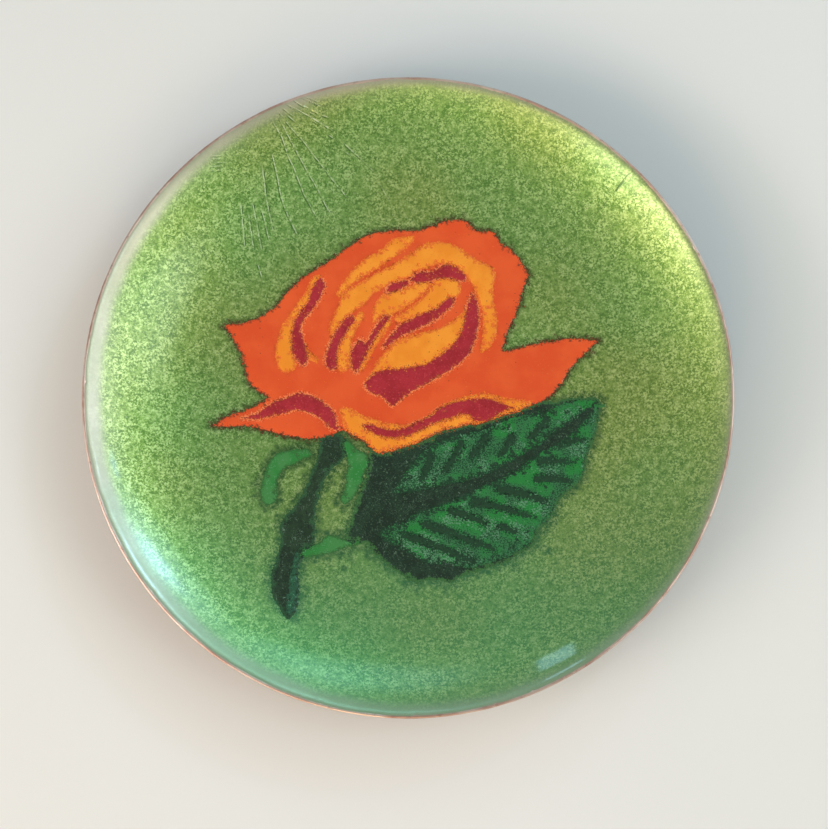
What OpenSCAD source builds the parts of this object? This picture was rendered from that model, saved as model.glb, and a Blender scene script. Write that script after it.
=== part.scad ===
/* [Dish] */
// Outside diameter over the rim (mm)
dish_d = 152; // [80:1:200]
// Radius of the flat bottom (mm)
base_r = 38; // [24:0.5:60]
// Slope of the wall where it reaches the rim (degrees)
rim_slope = 36; // [15:1:60]
// Thickness of the copper sheet (mm)
sheet_t = 0.8; // [0.5:0.1:1.6]

/* [Enamel coats] */
// Thickness of the green ground enamel (mm)
ground_t = 0.25; // [0.1:0.05:0.5]
// Thickness of the counter enamel underneath (mm)
counter_t = 0.25; // [0.1:0.05:0.5]
// Bare copper left above the ground enamel at the rim (mm)
bare_edge = 0.45; // [0.2:0.05:1.5]
// Bare copper left above the counter enamel at the rim (mm)
bare_back = 0.6; // [0.2:0.05:2]
// Thickness of the flower, stem and leaf coats (mm)
body_t = 0.12; // [0.06:0.01:0.3]
// Thickness of the petal strokes laid on them (mm)
stroke_t = 0.10; // [0.06:0.01:0.3]
// Thickness of the leaf veins (mm)
vein_t = 0.08; // [0.05:0.01:0.2]

/* [Motif] */
// Size of the whole motif against its drawn size
motif_scale = 1; // [0.6:0.01:1.05]
// Turn of the whole motif on the dish (degrees)
motif_turn = 0; // [-180:1:180]
// Straight steps drawn between two points of an outline
curve_steps = 3; // [2:1:6]

/* [Hidden] */
$fn = 240;
lip_r = sheet_t / 2 + 0.005;
arc_mid = (dish_d / 2 - base_r - lip_r) / sin(rim_slope);
arc_z = counter_t + sheet_t / 2 + arc_mid;
copper_out = arc_mid + sheet_t / 2;
copper_in = arc_mid - sheet_t / 2;
ground_top = copper_in - ground_t;
counter_out = copper_out + counter_t;
ground_end = rim_slope - bare_edge / copper_in * 180 / PI;
counter_end = rim_slope - bare_back / counter_out * 180 / PI;
body_top = ground_top - body_t;
stroke_top = body_top - stroke_t;
vein_top = stroke_top - vein_t;
reach = 3 * arc_z;
copper_rgb = [0.80, 0.50, 0.36];
back_rgb = [0.16, 0.20, 0.18];
ground_rgb = [0.45, 0.60, 0.33];
orange_rgb = [0.85, 0.35, 0.16];
yellow_rgb = [0.92, 0.52, 0.15];
crimson_rgb = [0.63, 0.17, 0.19];
leaf_rgb = [0.22, 0.42, 0.24];
dark_rgb = [0.14, 0.24, 0.15];
stem_rgb = [0.20, 0.34, 0.22];
sepal_rgb = [0.24, 0.43, 0.22];

// ---- Curves ----

// A point of an outline is [x, y], or [x, y, 1] where the outline turns a sharp corner.
function flat_point(p) = [p[0], p[1]];
function unit(v) = norm(v) < 0.0001 ? [0, 0] : v / norm(v);
function is_corner(p) = len(p) > 2;
function along(a, b, ta, tb, u) =
  a * (2 * u * u * u - 3 * u * u + 1) + ta * (u * u * u - 2 * u * u + u)
  + b * (3 * u * u - 2 * u * u * u) + tb * (u * u * u - u * u);
function heading(p, i) =
  let (n = len(p))
  is_corner(p[i]) ? [0, 0] : unit(flat_point(p[(i + 1) % n]) - flat_point(p[(i + n - 1) % n]));
function smooth_outline(p, steps) =
  let (n = len(p))
  [
    for (i = [0 : n - 1])
      let (a = flat_point(p[i]), b = flat_point(p[(i + 1) % n]), reach_ab = norm(b - a))
        for (k = [0 : steps - 1])
          along(a, b, heading(p, i) * reach_ab, heading(p, (i + 1) % n) * reach_ab, k / steps)
  ];

// A closed outline through hand-set points, in the plane of the motif.
module outline(p, steps = curve_steps) {
  rotate(motif_turn)
    scale([motif_scale, motif_scale])
      polygon(smooth_outline(p, steps));
}

// A tapered brush stroke from one point to another, broad at the start and fine at the end.
module stroke(from, to, w1, w2) {
  dir = unit(to - from);
  side = [-dir[1], dir[0]];
  mid = (from + to) / 2 + side * 0.25;
  rotate(motif_turn)
    scale([motif_scale, motif_scale])
      polygon(smooth_outline([
        from - dir * w1 * 0.4,
        from - side * w1 / 2,
        mid - side * (w1 + w2) * 0.28,
        to - side * w2 / 2,
        to + dir * w2 * 0.5,
        to + side * w2 / 2,
        mid + side * (w1 + w2) * 0.28,
        from + side * w1 / 2
      ], 2));
}

// ---- Sections of the dish ----

// The part of a section that lies between the bottom and a slope on the wall.
module wedge(slope) {
  polygon([[base_r, arc_z], [base_r, -1], [base_r + tan(slope) * (arc_z + 1), -1]]);
}

// The section of a coat between two arcs of the wall, carried on across the flat bottom.
module band(outer, inner, slope) {
  translate([0, arc_z - outer])
    square([base_r, outer - inner]);
  intersection() {
    translate([base_r, arc_z])
      difference() {
        circle(r = outer);
        circle(r = inner);
      }
    wedge(slope);
  }
}

// A thin coat of enamel that lies on the inside of the dish within an outline.
module coat(outer, inner) {
  intersection() {
    linear_extrude(height = arc_z)
      children();
    rotate_extrude()
      band(outer, inner, rim_slope - 1);
  }
}

// The same coat where its outline stays on the flat bottom.
module flat_coat(outer, inner) {
  translate([0, 0, arc_z - outer])
    linear_extrude(height = outer - inner)
      children();
}

// ---- Dish ----

module copper_dish() {
  color(copper_rgb)
    rotate_extrude() {
      band(copper_out, copper_in, rim_slope);
      translate([base_r + arc_mid * sin(rim_slope), arc_z - arc_mid * cos(rim_slope)])
        circle(r = lip_r);
    }
}

module back_counter_enamel() {
  color(back_rgb)
    rotate_extrude()
      band(counter_out, copper_out, counter_end);
}

module green_ground_enamel() {
  color(ground_rgb)
    rotate_extrude()
      band(copper_in, ground_top, ground_end);
}

// ---- Flower, stem and leaf ----

bloom_pts = [
  [-44.2, 17.6, 1], [-40, 18.1], [-37.3, 19], [-35, 20.1], [-33.2, 21.5], [-31.3, 22.9],
  [-29.9, 25.1], [-28.4, 26.6], [-26.8, 28.4], [-24.9, 29.9], [-21.3, 32.1], [-18, 34.4],
  [-14.9, 36.8], [-12.9, 38.1], [-10, 39.9], [-6.5, 40.8], [-2.9, 41.2], [2.2, 41.1],
  [4.7, 42], [7.1, 42.8], [9.8, 43.6], [12.2, 43.7], [14.3, 43.1], [15.5, 42], [17.3, 41],
  [19.8, 41], [21.1, 39.9], [22.3, 38], [24.3, 36.9], [26, 35], [27.2, 33.2], [28.7, 31.1],
  [28.5, 29.1], [27.6, 26.3], [26.8, 23.5], [25.9, 20.5], [24.7, 18], [23.6, 15.2],
  [22.4, 11.3, 1], [24.4, 11.5], [27, 12.1], [30, 13], [32.9, 13.7], [36.6, 14.2],
  [40, 14.4], [43.3, 14.2], [45.7, 13.7, 1], [44.3, 12.5], [42.2, 10.5], [40.3, 8.7],
  [38.1, 6], [36.8, 3.7], [35.2, 1.8], [33.3, 0.1], [31.2, -1.3], [28.5, -2.1],
  [26.4, -3.3], [22.7, -4.4], [20, -5.4], [17.1, -6.4], [14.7, -6.6], [11.2, -7.4],
  [7.6, -8.3], [4.7, -9.8], [2.3, -11], [0, -11.7], [-2, -12.3], [-4.4, -13.1],
  [-6.7, -13.5], [-8.2, -12.9], [-10.1, -11], [-11.7, -10], [-13.4, -9.1],
  [-15.3, -7.9, 1], [-17.4, -8.6], [-19.3, -9.3], [-21.7, -9.8], [-24.5, -9.9],
  [-26.9, -9.5], [-30.2, -8.9], [-33.1, -8.3], [-35.5, -7.5], [-38.3, -7], [-41.2, -6.9],
  [-44.8, -7.1], [-46.6, -6.9, 1], [-44.6, -5.5], [-42.5, -4.3], [-39.9, -3.3],
  [-37.7, -2.6], [-35.6, -1.6], [-34.4, -0.8], [-33.2, 0.2, 1], [-35.6, 1.4],
  [-37.1, 2.8], [-38.3, 4.2], [-38.8, 6.2], [-39.4, 8.3], [-39.9, 10.4], [-41, 12.6],
  [-42.3, 14.6]
];

stem_pts = [
  [-20.6, -9.5], [-21, -12], [-21.6, -14.2], [-22.3, -17], [-23.4, -19.4], [-24.4, -21.8],
  [-25.6, -24.2], [-27, -26.5], [-28.6, -28.2], [-29.8, -29.6], [-30.3, -31.8],
  [-29.9, -33.6], [-30, -35.4], [-30.6, -37.8], [-31.4, -40.1], [-31.9, -42.8],
  [-31.9, -45.6], [-31.3, -48], [-30, -50.2], [-28.9, -51.8], [-27.8, -52.8],
  [-26.4, -51.8], [-25.7, -49.7], [-25.5, -46.1], [-25.6, -42.8], [-25.7, -40.4],
  [-24.9, -38.6], [-24.5, -36.5], [-22.6, -35.2], [-22, -33.2], [-22, -30.8],
  [-22, -28.7], [-21.8, -27], [-21.5, -25.1], [-21, -23.4], [-20.4, -21.6], [-20, -19.9],
  [-19, -18.4], [-17.9, -16.9], [-16.2, -15.6], [-15, -14], [-15.4, -12], [-15.6, -9]
];

stem_light_pts = [
  [-26.3, -37], [-27.1, -39.6], [-27.5, -41.8], [-27.9, -44.2], [-28.2, -46.6],
  [-28.3, -49.4], [-27.9, -51.9], [-26.7, -51], [-26.1, -49.4], [-25.9, -46.1],
  [-26, -42.8], [-26.1, -40.2], [-25.6, -38.2]
];

twig_pts = [
  [-25.6, -37.6], [-24.6, -36.2], [-22.8, -35.6], [-20.8, -34.9], [-19.6, -33.5],
  [-17.5, -33.2], [-16, -34], [-13.7, -34.3], [-11.2, -34.5], [-12.5, -35.2],
  [-14.9, -35.7], [-16.8, -36.5], [-19.6, -37.2], [-21.9, -37.7], [-24.2, -38.2]
];

sepal_left_pts = [
  [-23.1, -13.4], [-24.5, -12.4], [-26.4, -12.7], [-28.3, -13], [-30.2, -13.3],
  [-31.6, -14.1], [-32.8, -15.8], [-33.7, -17.9], [-34.5, -20.3], [-34.8, -22.8],
  [-34.3, -24.7], [-33.3, -25.6], [-31.9, -25.2], [-31.2, -23.7], [-31.4, -22.3],
  [-31.2, -20.4], [-30.5, -18.2], [-29.1, -16.7], [-27.2, -16], [-25.4, -14.8],
  [-23.5, -14.1]
];

sepal_right_pts = [
  [-15.8, -11.2], [-15, -10.2], [-13.8, -11], [-12.4, -12.6], [-10.4, -13.6],
  [-9.1, -15.1], [-9.4, -16.4], [-10.5, -18], [-10.8, -19.9], [-11.7, -21.6],
  [-12.6, -23.1], [-13.8, -24.4], [-15, -25.6], [-15.9, -24.4], [-15, -22.6],
  [-14.7, -20.8], [-14.5, -18.4], [-14.1, -16.3], [-14.6, -14.2]
];

leaf_pts = [
  [-8.9, -12.5], [-9.2, -15.8], [-9.6, -17.5], [-10.3, -19.4], [-10.6, -21.3],
  [-11.5, -23.2], [-12.4, -25.6], [-13.1, -28.2], [-13.6, -30.6], [-14.6, -32.8],
  [-14, -34.2], [-10, -34.8], [-8.7, -36.3], [-7.2, -38.2], [-5, -40], [-2.6, -41.5],
  [-1, -42.8], [0.4, -43.8], [2.5, -44.4], [4.5, -43.5], [7.2, -43.7], [10.5, -44.1],
  [11.9, -43], [14.2, -42], [16.6, -41.5], [19.9, -40.3], [23.3, -39.2], [25.8, -37.6],
  [28.7, -35.9], [30, -33.6], [31, -31.3], [32.8, -30.2], [34.2, -27.9], [35, -25.8],
  [36.3, -23.8], [38.4, -22.1], [40.8, -20], [41.8, -17.6], [42.2, -14.9], [43.2, -12.2],
  [44, -10], [44.7, -7.6], [45.4, -4.8], [45.8, -2], [45.3, -0.3], [43.3, -0.2],
  [40, -0.1], [37.3, -0.5], [34.9, -1.1], [30, -1], [20, -4], [10, -6], [0, -10],
  [-6, -12]
];

leaf_upper_pts = [
  [-3.6, -22.8], [-3, -21.3], [-1.3, -18.9], [0.8, -15.8], [2.5, -13.9], [4.5, -12.3],
  [7.9, -10.5], [10, -9.5], [14.7, -8.4], [20, -7], [25, -5], [30, -3.9], [33.4, -3.2],
  [36, -1.6], [40, -0.8], [44.8, -0.7, 1], [43.2, -2.5], [40.2, -4.9], [36.9, -7.3],
  [33.5, -9.8], [30, -12.4], [26.6, -14.2], [23.2, -16.2], [20, -18], [17.4, -19],
  [14.7, -20], [11.3, -20.6], [7.9, -21.4], [4.5, -22.1], [1.1, -22.8]
];

leaf_lower_pts = [
  [-7.3, -32.6, 1], [-6, -31.5], [-3.6, -30.4], [0, -29.3], [1.1, -27.9], [3.1, -27.2],
  [5.8, -26.3], [7.8, -25.7], [10, -24.7], [12.6, -23.6], [14.9, -22.4], [17.6, -21.2],
  [20.8, -19.9], [23.6, -18.5], [26.6, -16.7], [30.3, -13.8], [33.7, -11.8],
  [37.1, -9.7], [39.9, -7.6], [41.8, -5.5], [43.9, -3.2], [45.2, -1.5, 1], [45, -4.8],
  [44.3, -7.6], [43.6, -10], [42.8, -12.2], [41.8, -14.8], [41.4, -17.6],
  [40.4, -19.9], [38, -21.9], [35.9, -23.6], [34.5, -25.7], [33.8, -27.8],
  [32.4, -29.8], [30.5, -31.2], [29.4, -33.5], [28.3, -35.4], [25.4, -37],
  [23, -38.4], [19.7, -39.4], [16.6, -40.3], [14, -41], [11.5, -40.4], [9.2, -39.9],
  [6.5, -39.9], [3.8, -39.4], [2.1, -38.5], [0, -37.2], [-1.9, -36.1], [-3.9, -35.4],
  [-6, -34.1]
];

// Veins of the leaf: start, end, width at the start, width at the end.
upper_veins = [
  [[5.4, -13.4], [3.3, -19.6], 1.5, 0.8], [[12.6, -11], [8.6, -17.8], 1.5, 0.8],
  [[18.6, -9.4], [14.8, -14.4], 1.4, 0.7], [[24.6, -9.4], [21.9, -13.8], 1.4, 0.7],
  [[33, -5.2], [28.8, -9.8], 1.4, 0.7]
];
lower_veins = [
  [[37.8, -10.9], [41.4, -10.2], 1.1, 0.7], [[31.6, -15.2], [38.6, -15.8], 1.4, 0.7],
  [[30.5, -19.5], [38, -20], 1.4, 0.7], [[21.4, -21.9], [32.4, -24.9], 1.5, 0.7],
  [[15.4, -25], [28.6, -28.4], 1.5, 0.7], [[9.9, -27.1], [18.4, -30.2], 1.4, 0.7],
  [[21.2, -31], [25.4, -32.4], 1, 0.6], [[3.8, -30.4], [20, -36.3], 1.5, 0.7],
  [[-1.2, -32.8], [15.2, -39.2], 1.5, 0.7]
];

module bloom_orange_coat() {
  color(orange_rgb)
    coat(ground_top, body_top)
      outline(bloom_pts);
}

module stem_dark() {
  color(dark_rgb)
    coat(ground_top, body_top)
      difference() {
        outline(stem_pts);
        outline(bloom_pts);
        outline(sepal_right_pts);
        outline(sepal_left_pts);
        outline(twig_pts);
      }
}

module twig_green() {
  color(sepal_rgb)
    coat(ground_top, body_top)
      outline(twig_pts);
}

module sepal_left() {
  color(sepal_rgb)
    coat(ground_top, body_top)
      outline(sepal_left_pts);
}

module sepal_right() {
  color(sepal_rgb)
    flat_coat(ground_top, body_top)
      difference() {
        outline(sepal_right_pts);
        outline(bloom_pts);
      }
}

module leaf_dark_base() {
  color(dark_rgb)
    coat(ground_top, body_top)
      difference() {
        outline(leaf_pts);
        outline(bloom_pts);
        outline(sepal_right_pts);
        outline(twig_pts);
      }
}

module stem_highlight() {
  color(stem_rgb)
    coat(body_top, stroke_top)
      difference() {
        outline(stem_light_pts);
        outline(twig_pts);
      }
}

module leaf_upper_half() {
  color(leaf_rgb)
    coat(body_top, stroke_top)
      difference() {
        outline(leaf_upper_pts);
        outline(bloom_pts);
      }
}

module leaf_lower_half() {
  color(leaf_rgb)
    coat(body_top, stroke_top)
      outline(leaf_lower_pts);
}

module leaf_veins_upper() {
  color(dark_rgb)
    coat(stroke_top, vein_top)
      for (v = upper_veins) stroke(v[0], v[1], v[2], v[3]);
}

module leaf_veins_lower() {
  color(dark_rgb)
    coat(stroke_top, vein_top)
      for (v = lower_veins) stroke(v[0], v[1], v[2], v[3]);
}

// ---- Crimson strokes ----

crimson_left_pts = [
  [-21.6, 29], [-20.5, 28.5], [-20.3, 27.2], [-21.1, 25.2], [-22.1, 23.2], [-23.3, 21.5],
  [-24.5, 20], [-25.4, 18.7], [-25.9, 16.5], [-25.5, 14.9], [-25.1, 12.8], [-24.3, 10.8],
  [-24.2, 9.2], [-25, 8], [-26.2, 8.9], [-27.2, 10.4], [-27.8, 12.6], [-27.9, 15],
  [-27.5, 17.2], [-26.8, 19.2], [-25.7, 21.2], [-24.2, 22.9], [-23.3, 25.4], [-22.5, 27.6]
];

crimson_second_pts = [
  [-13.2, 19.4], [-13.5, 18.2], [-14.7, 16.5], [-15.5, 15.2], [-16.4, 13.5],
  [-17.1, 11.6], [-17.3, 9.2], [-17.5, 7.2], [-18.5, 7], [-19.6, 8.2], [-19.6, 10.4],
  [-19.1, 12.2], [-18.2, 14.2], [-17, 16.4], [-15.6, 18.5], [-14.2, 19.7]
];

crimson_forked_pts = [
  [-4.6, 19.8], [-5.9, 17.8], [-7.2, 15.9], [-8.3, 14.1], [-9.4, 12.2], [-10.1, 10.4],
  [-11.1, 8.7], [-11.9, 7.2], [-12.7, 6.2], [-13.3, 7.6], [-13.6, 9.9], [-13.2, 11.9],
  [-12.2, 13.5], [-11.4, 14], [-10.3, 12.9, 1], [-9.5, 14.2], [-8.5, 16], [-7.2, 18],
  [-5.6, 19.8]
];

crimson_arc_left_pts = [
  [-5.4, 26.2], [-4.4, 27.4], [-2.6, 28.3], [-0.2, 28.4], [-0.8, 27.4], [-2.9, 26.4],
  [-4.4, 25.8]
];

crimson_arc_right_pts = [
  [0.8, 28.7], [1.3, 29.9], [2.8, 30.6], [5.9, 30.8], [7.7, 32], [9.5, 32.5], [11.3, 32],
  [12.8, 30.9], [13.7, 29.3], [12.8, 28.6], [10.7, 29.2], [7.7, 29.6], [5.9, 28.9],
  [3.4, 28.4]
];

crimson_bud_pts = [
  [10.4, 24.4], [11, 23.8], [10, 22], [8.5, 20.8], [7, 19.5], [5.2, 18.3], [2.8, 17.3],
  [0.4, 16.1], [-2, 14.9], [-4.2, 13.4], [-6, 12.1, 1], [-5.2, 13.6], [-3.6, 15.7],
  [-2, 17.4], [0, 18.6], [2.2, 19.7], [4.7, 20.9], [7, 21.9], [8.8, 23.5]
];

crimson_crescent_pts = [
  [15.4, 25.3, 1], [16.2, 23.6], [16.7, 21.7], [16.7, 18.6], [16.3, 15.7], [15.6, 13.2],
  [14.6, 11.1], [13.2, 9.4], [11.6, 8], [10, 6.9], [7.6, 5.4], [5.2, 4], [2.8, 2.8],
  [0.4, 1.4], [-1.5, -0.1], [-2.9, -1.3], [-3.9, -1.8], [-5.1, -0.8], [-6.3, 0.3],
  [-8.4, 1.1], [-9.8, 2.1], [-10.2, 3.2], [-9.4, 4.4], [-8.2, 5.5], [-6.3, 6.5],
  [-4.4, 6.8], [-2, 6.8], [0, 7.1], [2.3, 7.6], [4.2, 7.9], [5.9, 8.9], [7.6, 10.1],
  [9.5, 11.6], [11, 13.1], [12.4, 15], [13.2, 17], [13.7, 19.5], [14.3, 22.4]
];

crimson_low_pts = [
  [-39.6, -5, 1], [-37, -4.3], [-35.1, -3.3], [-33.6, -2.1], [-31.8, -1.1], [-30, -0.4],
  [-28, 0.3], [-26, 1], [-24.6, 0.9], [-22.7, 0.1], [-21.1, -0.8], [-19.4, -2],
  [-18, -3.3], [-17.3, -4.7], [-17, -6.4], [-16.6, -7.6], [-17.7, -7.5], [-19.1, -6.8],
  [-20.1, -5.4], [-21.8, -4.4], [-23.7, -3.5], [-25.6, -3], [-27.5, -3], [-30, -3.7],
  [-32.3, -4.2], [-34.4, -4.8], [-36.8, -5.2]
];

crimson_hem_pts = [
  [-10.5, -6.7], [-10.2, -7.4], [-8.6, -8.3], [-6.7, -9.2], [-4.3, -9.5], [-2, -9.5],
  [0, -9.2], [1.6, -8.4], [3.3, -7.6], [5.2, -6.6], [7.6, -5.5], [10, -4.8],
  [12.4, -4.1], [14.6, -4.2], [15.7, -5.4], [17.9, -5.6], [20, -4.9], [21.6, -3.7],
  [23.2, -2.9], [24.8, -2.4, 1], [22.7, -1.7], [20.6, -0.8], [17.9, -0.3], [15.3, -0.4],
  [12.6, -1], [10, -1.6], [7.6, -2.8], [6, -4], [4.2, -5.1], [2.3, -6], [0.4, -6.9],
  [-2, -7.6], [-4.3, -7.9], [-6.7, -7.5], [-8.6, -6.8]
];

module crimson_left_stroke() {
  color(crimson_rgb)
    flat_coat(body_top, stroke_top)
      outline(crimson_left_pts);
}

module crimson_second_stroke() {
  color(crimson_rgb)
    flat_coat(body_top, stroke_top)
      outline(crimson_second_pts);
}

module crimson_forked_stroke() {
  color(crimson_rgb)
    flat_coat(body_top, stroke_top)
      outline(crimson_forked_pts);
}

module crimson_bud_arcs() {
  color(crimson_rgb)
    flat_coat(body_top, stroke_top) {
      outline(crimson_arc_left_pts);
      outline(crimson_arc_right_pts);
    }
}

module crimson_bud_stroke() {
  color(crimson_rgb)
    flat_coat(body_top, stroke_top)
      outline(crimson_bud_pts);
}

module crimson_crescent() {
  color(crimson_rgb)
    flat_coat(body_top, stroke_top)
      outline(crimson_crescent_pts);
}

module crimson_low_petal_shadow() {
  color(crimson_rgb)
    coat(body_top, stroke_top)
      outline(crimson_low_pts);
}

module crimson_hem_shadow() {
  color(crimson_rgb)
    flat_coat(body_top, stroke_top)
      outline(crimson_hem_pts);
}

// ---- Yellow strokes ----

yellow_streak_pts = [
  [1.3, 39.2], [0.4, 39.8], [-1.7, 39.5], [-3.5, 39.2], [-5.3, 37.5], [-7.4, 35.8],
  [-10, 34.4], [-12, 32.5], [-14.7, 29.7], [-17.4, 25.3, 1], [-16.4, 24.8],
  [-14.7, 26.9], [-12, 29], [-10, 30.4], [-7.4, 31.8], [-5, 33.5], [-2.3, 35.4],
  [-0.2, 37.2], [1, 38.4]
];

yellow_outer_pts = [
  [-18.8, 14.6, 1], [-18.7, 17.8], [-17.9, 19.9], [-16.7, 22.6], [-16.2, 24.3],
  [-14.7, 26], [-12, 27.9], [-10, 29.1], [-6.5, 31.2], [-4.4, 32.2], [-2.3, 33.5],
  [0, 35], [2.2, 36.6], [4.4, 38], [7.1, 38.2], [9.5, 38], [11.6, 37.2], [13.7, 35.7],
  [17.3, 33.5], [19.8, 32.2], [21, 30.7], [20.5, 28.2], [20.3, 25.1], [20.7, 22],
  [21.3, 18.6], [20.8, 14.9], [19.3, 12.1], [17.4, 11, 1], [17.8, 13.5], [18.1, 18.3],
  [17.9, 21.1], [17, 23.6], [16.1, 26], [14.9, 28.5], [13.7, 30.2], [11.9, 31.6],
  [10.1, 32.5], [7.7, 32.9], [4.7, 31.9], [2.2, 31.3], [0.4, 29.8], [-2, 28.8],
  [-4.4, 28.2], [-6.5, 26.6], [-8.6, 25.4], [-10, 23.5], [-12, 22], [-14.7, 19.9],
  [-15.9, 18.7], [-17.6, 16.2]
];

yellow_left_pts = [
  [-21.8, 30], [-22.8, 29.6], [-24, 27.6], [-24.9, 25.4], [-26.6, 23.2], [-27.8, 21.2],
  [-29.2, 18.7], [-30.4, 17.3], [-30.9, 15], [-31.7, 12.3], [-31.8, 9.9], [-31.2, 8],
  [-30.2, 6.4], [-28.8, 6.2], [-27.1, 7.2], [-27, 8.4], [-27.6, 10.8], [-27.9, 13.5],
  [-28, 16.5], [-27.3, 18.9], [-26.1, 21.1], [-24.4, 22.6], [-23.4, 26.1],
  [-22.5, 28.1], [-21.5, 28.9], [-21.3, 29.6]
];

yellow_fleck_pts = [
  [-24.9, 13], [-24.2, 11.5], [-23, 10.3], [-21.6, 9.4], [-22, 8.6], [-23.4, 9.3],
  [-24.4, 10.6]
];

yellow_stroke_pts = [
  [-11, 21], [-12.6, 19.8], [-14.1, 17.6], [-15.4, 14.7], [-16.3, 12.8], [-17, 10.8],
  [-17, 8.7], [-16.5, 6.7], [-14.8, 6.5], [-14.1, 7.9], [-14, 10.8], [-13.7, 13.3],
  [-13.1, 15.5], [-12, 17.6], [-10.9, 19.5]
];

yellow_middle_pts = [
  [-11.6, 6.4], [-11.8, 7.2], [-10.8, 8.9], [-9.9, 10.9], [-8.7, 12.8], [-7.5, 15],
  [-6.3, 17], [-4.6, 19.2], [-4.2, 18.6], [-5.6, 15.9], [-7, 13.8], [-8.4, 11.6],
  [-9.4, 9.4], [-10.4, 7.5]
];

yellow_bud_left_pts = [
  [-8.3, 18.5], [-8.4, 21.1], [-7.6, 23.5], [-6, 25.2], [-3.8, 25.8], [-1.4, 26.4],
  [0.8, 27.3], [3, 28.4], [5.4, 27.9], [4.2, 26.2], [2.6, 24.6], [0.8, 23.2],
  [-1.2, 21.8], [-3, 20.8], [-4.2, 19.8], [-5.8, 20.4], [-7.2, 19.6]
];

yellow_bud_right_pts = [
  [6.2, 28.2], [7.4, 29.1], [10.1, 29.2], [12.2, 28.2], [12.6, 26.3], [11.6, 24.8],
  [10.1, 24.4], [8, 22.4], [5, 21.2], [2.2, 20.1], [0, 19.2], [-2, 18.4], [-3.2, 19.4],
  [-1, 20.8], [1.4, 22.8], [3.4, 24.4], [5, 26.2]
];

yellow_low_pts = [
  [-9.9, 4, 1], [-8.6, 6.4], [-7.3, 8.9], [-6.3, 10.1], [-4.9, 11.6], [-3.4, 13.3],
  [-1.5, 14.3], [0.4, 15], [4.7, 16.1], [7.7, 17], [9.8, 18], [11.6, 19.5],
  [13.1, 20.8], [14, 22, 1], [13.7, 19.5], [13.2, 17], [12.4, 15], [11, 13.1],
  [9.5, 11.6], [7.6, 10.1], [5.9, 8.9], [4.2, 7.8], [2.3, 7.6], [0, 7.1], [-2, 6.8],
  [-4.4, 6.7], [-6.3, 6.5], [-8, 6]
];

yellow_hem_pts = [
  [-16.1, -3.4], [-15.6, -2.5], [-13.9, -2.8], [-12, -3.7], [-10, -4.7], [-7.9, -5.4],
  [-5, -6.3], [-2, -6.6], [0.4, -6.6], [2.8, -5.8], [5.2, -4.3], [7, -2.9],
  [8.6, -1.8], [10, -1.1], [12.4, -0.3], [14.7, 0.4], [17.9, 0.9], [20, 0.6],
  [22.4, -0.1], [24.8, -0.5], [26.9, -0.8], [29.2, -1.2], [28.2, -2.3], [26.4, -3.4],
  [22.7, -4.4], [20, -5.4], [17, -6.3], [14.7, -6.5], [11.2, -7.3], [7.6, -8.2],
  [4.7, -9.7], [2.3, -10.9], [0, -11.6], [-2, -12.2], [-4.4, -12.9], [-6.7, -13.3],
  [-8.2, -12.7], [-10.1, -10.9], [-11.7, -9.8], [-13.4, -8.9], [-15, -7.7],
  [-15.6, -5.5]
];

module yellow_upper_streak() {
  color(yellow_rgb)
    coat(body_top, stroke_top)
      outline(yellow_streak_pts);
}

module yellow_outer_petal() {
  color(yellow_rgb)
    coat(body_top, stroke_top)
      difference() {
        outline(yellow_outer_pts);
        outline(yellow_streak_pts);
        outline(crimson_second_pts);
        outline(crimson_arc_left_pts);
        outline(crimson_arc_right_pts);
      }
}

module yellow_left_petal() {
  color(yellow_rgb)
    flat_coat(body_top, stroke_top)
      difference() {
        union() {
          outline(yellow_left_pts);
          outline(yellow_fleck_pts);
        }
        outline(crimson_left_pts);
      }
}

module yellow_left_stroke() {
  color(yellow_rgb)
    flat_coat(body_top, stroke_top)
      difference() {
        outline(yellow_stroke_pts);
        outline(crimson_second_pts);
        outline(crimson_forked_pts);
      }
}

module yellow_middle_stroke() {
  color(yellow_rgb)
    flat_coat(body_top, stroke_top)
      difference() {
        outline(yellow_middle_pts);
        outline(crimson_forked_pts);
      }
}

module yellow_bud_upper() {
  color(yellow_rgb)
    flat_coat(body_top, stroke_top)
      difference() {
        union() {
          outline(yellow_bud_left_pts);
          outline(yellow_bud_right_pts);
        }
        outline(crimson_arc_left_pts);
        outline(crimson_arc_right_pts);
        outline(crimson_bud_pts);
        outline(crimson_forked_pts);
        outline(yellow_middle_pts);
      }
}

module yellow_bud_lower() {
  color(yellow_rgb)
    flat_coat(body_top, stroke_top)
      difference() {
        outline(yellow_low_pts);
        outline(crimson_crescent_pts);
        outline(crimson_bud_pts);
      }
}

module yellow_hem() {
  color(yellow_rgb)
    flat_coat(body_top, stroke_top)
      difference() {
        intersection() {
          outline(yellow_hem_pts);
          outline(bloom_pts);
        }
        outline(crimson_hem_pts);
        outline(crimson_low_pts);
      }
}

copper_dish();
back_counter_enamel();
green_ground_enamel();
bloom_orange_coat();
stem_dark();
twig_green();
sepal_left();
sepal_right();
leaf_dark_base();
yellow_upper_streak();
yellow_outer_petal();
yellow_left_petal();
yellow_left_stroke();
yellow_middle_stroke();
yellow_bud_upper();
yellow_bud_lower();
yellow_hem();
crimson_left_stroke();
crimson_second_stroke();
crimson_forked_stroke();
crimson_bud_arcs();
crimson_bud_stroke();
crimson_crescent();
crimson_low_petal_shadow();
crimson_hem_shadow();
stem_highlight();
leaf_upper_half();
leaf_lower_half();
leaf_veins_upper();
leaf_veins_lower();
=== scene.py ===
import math

import bpy
import numpy as np
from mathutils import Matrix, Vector
from mathutils.geometry import delaunay_2d_cdt


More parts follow.
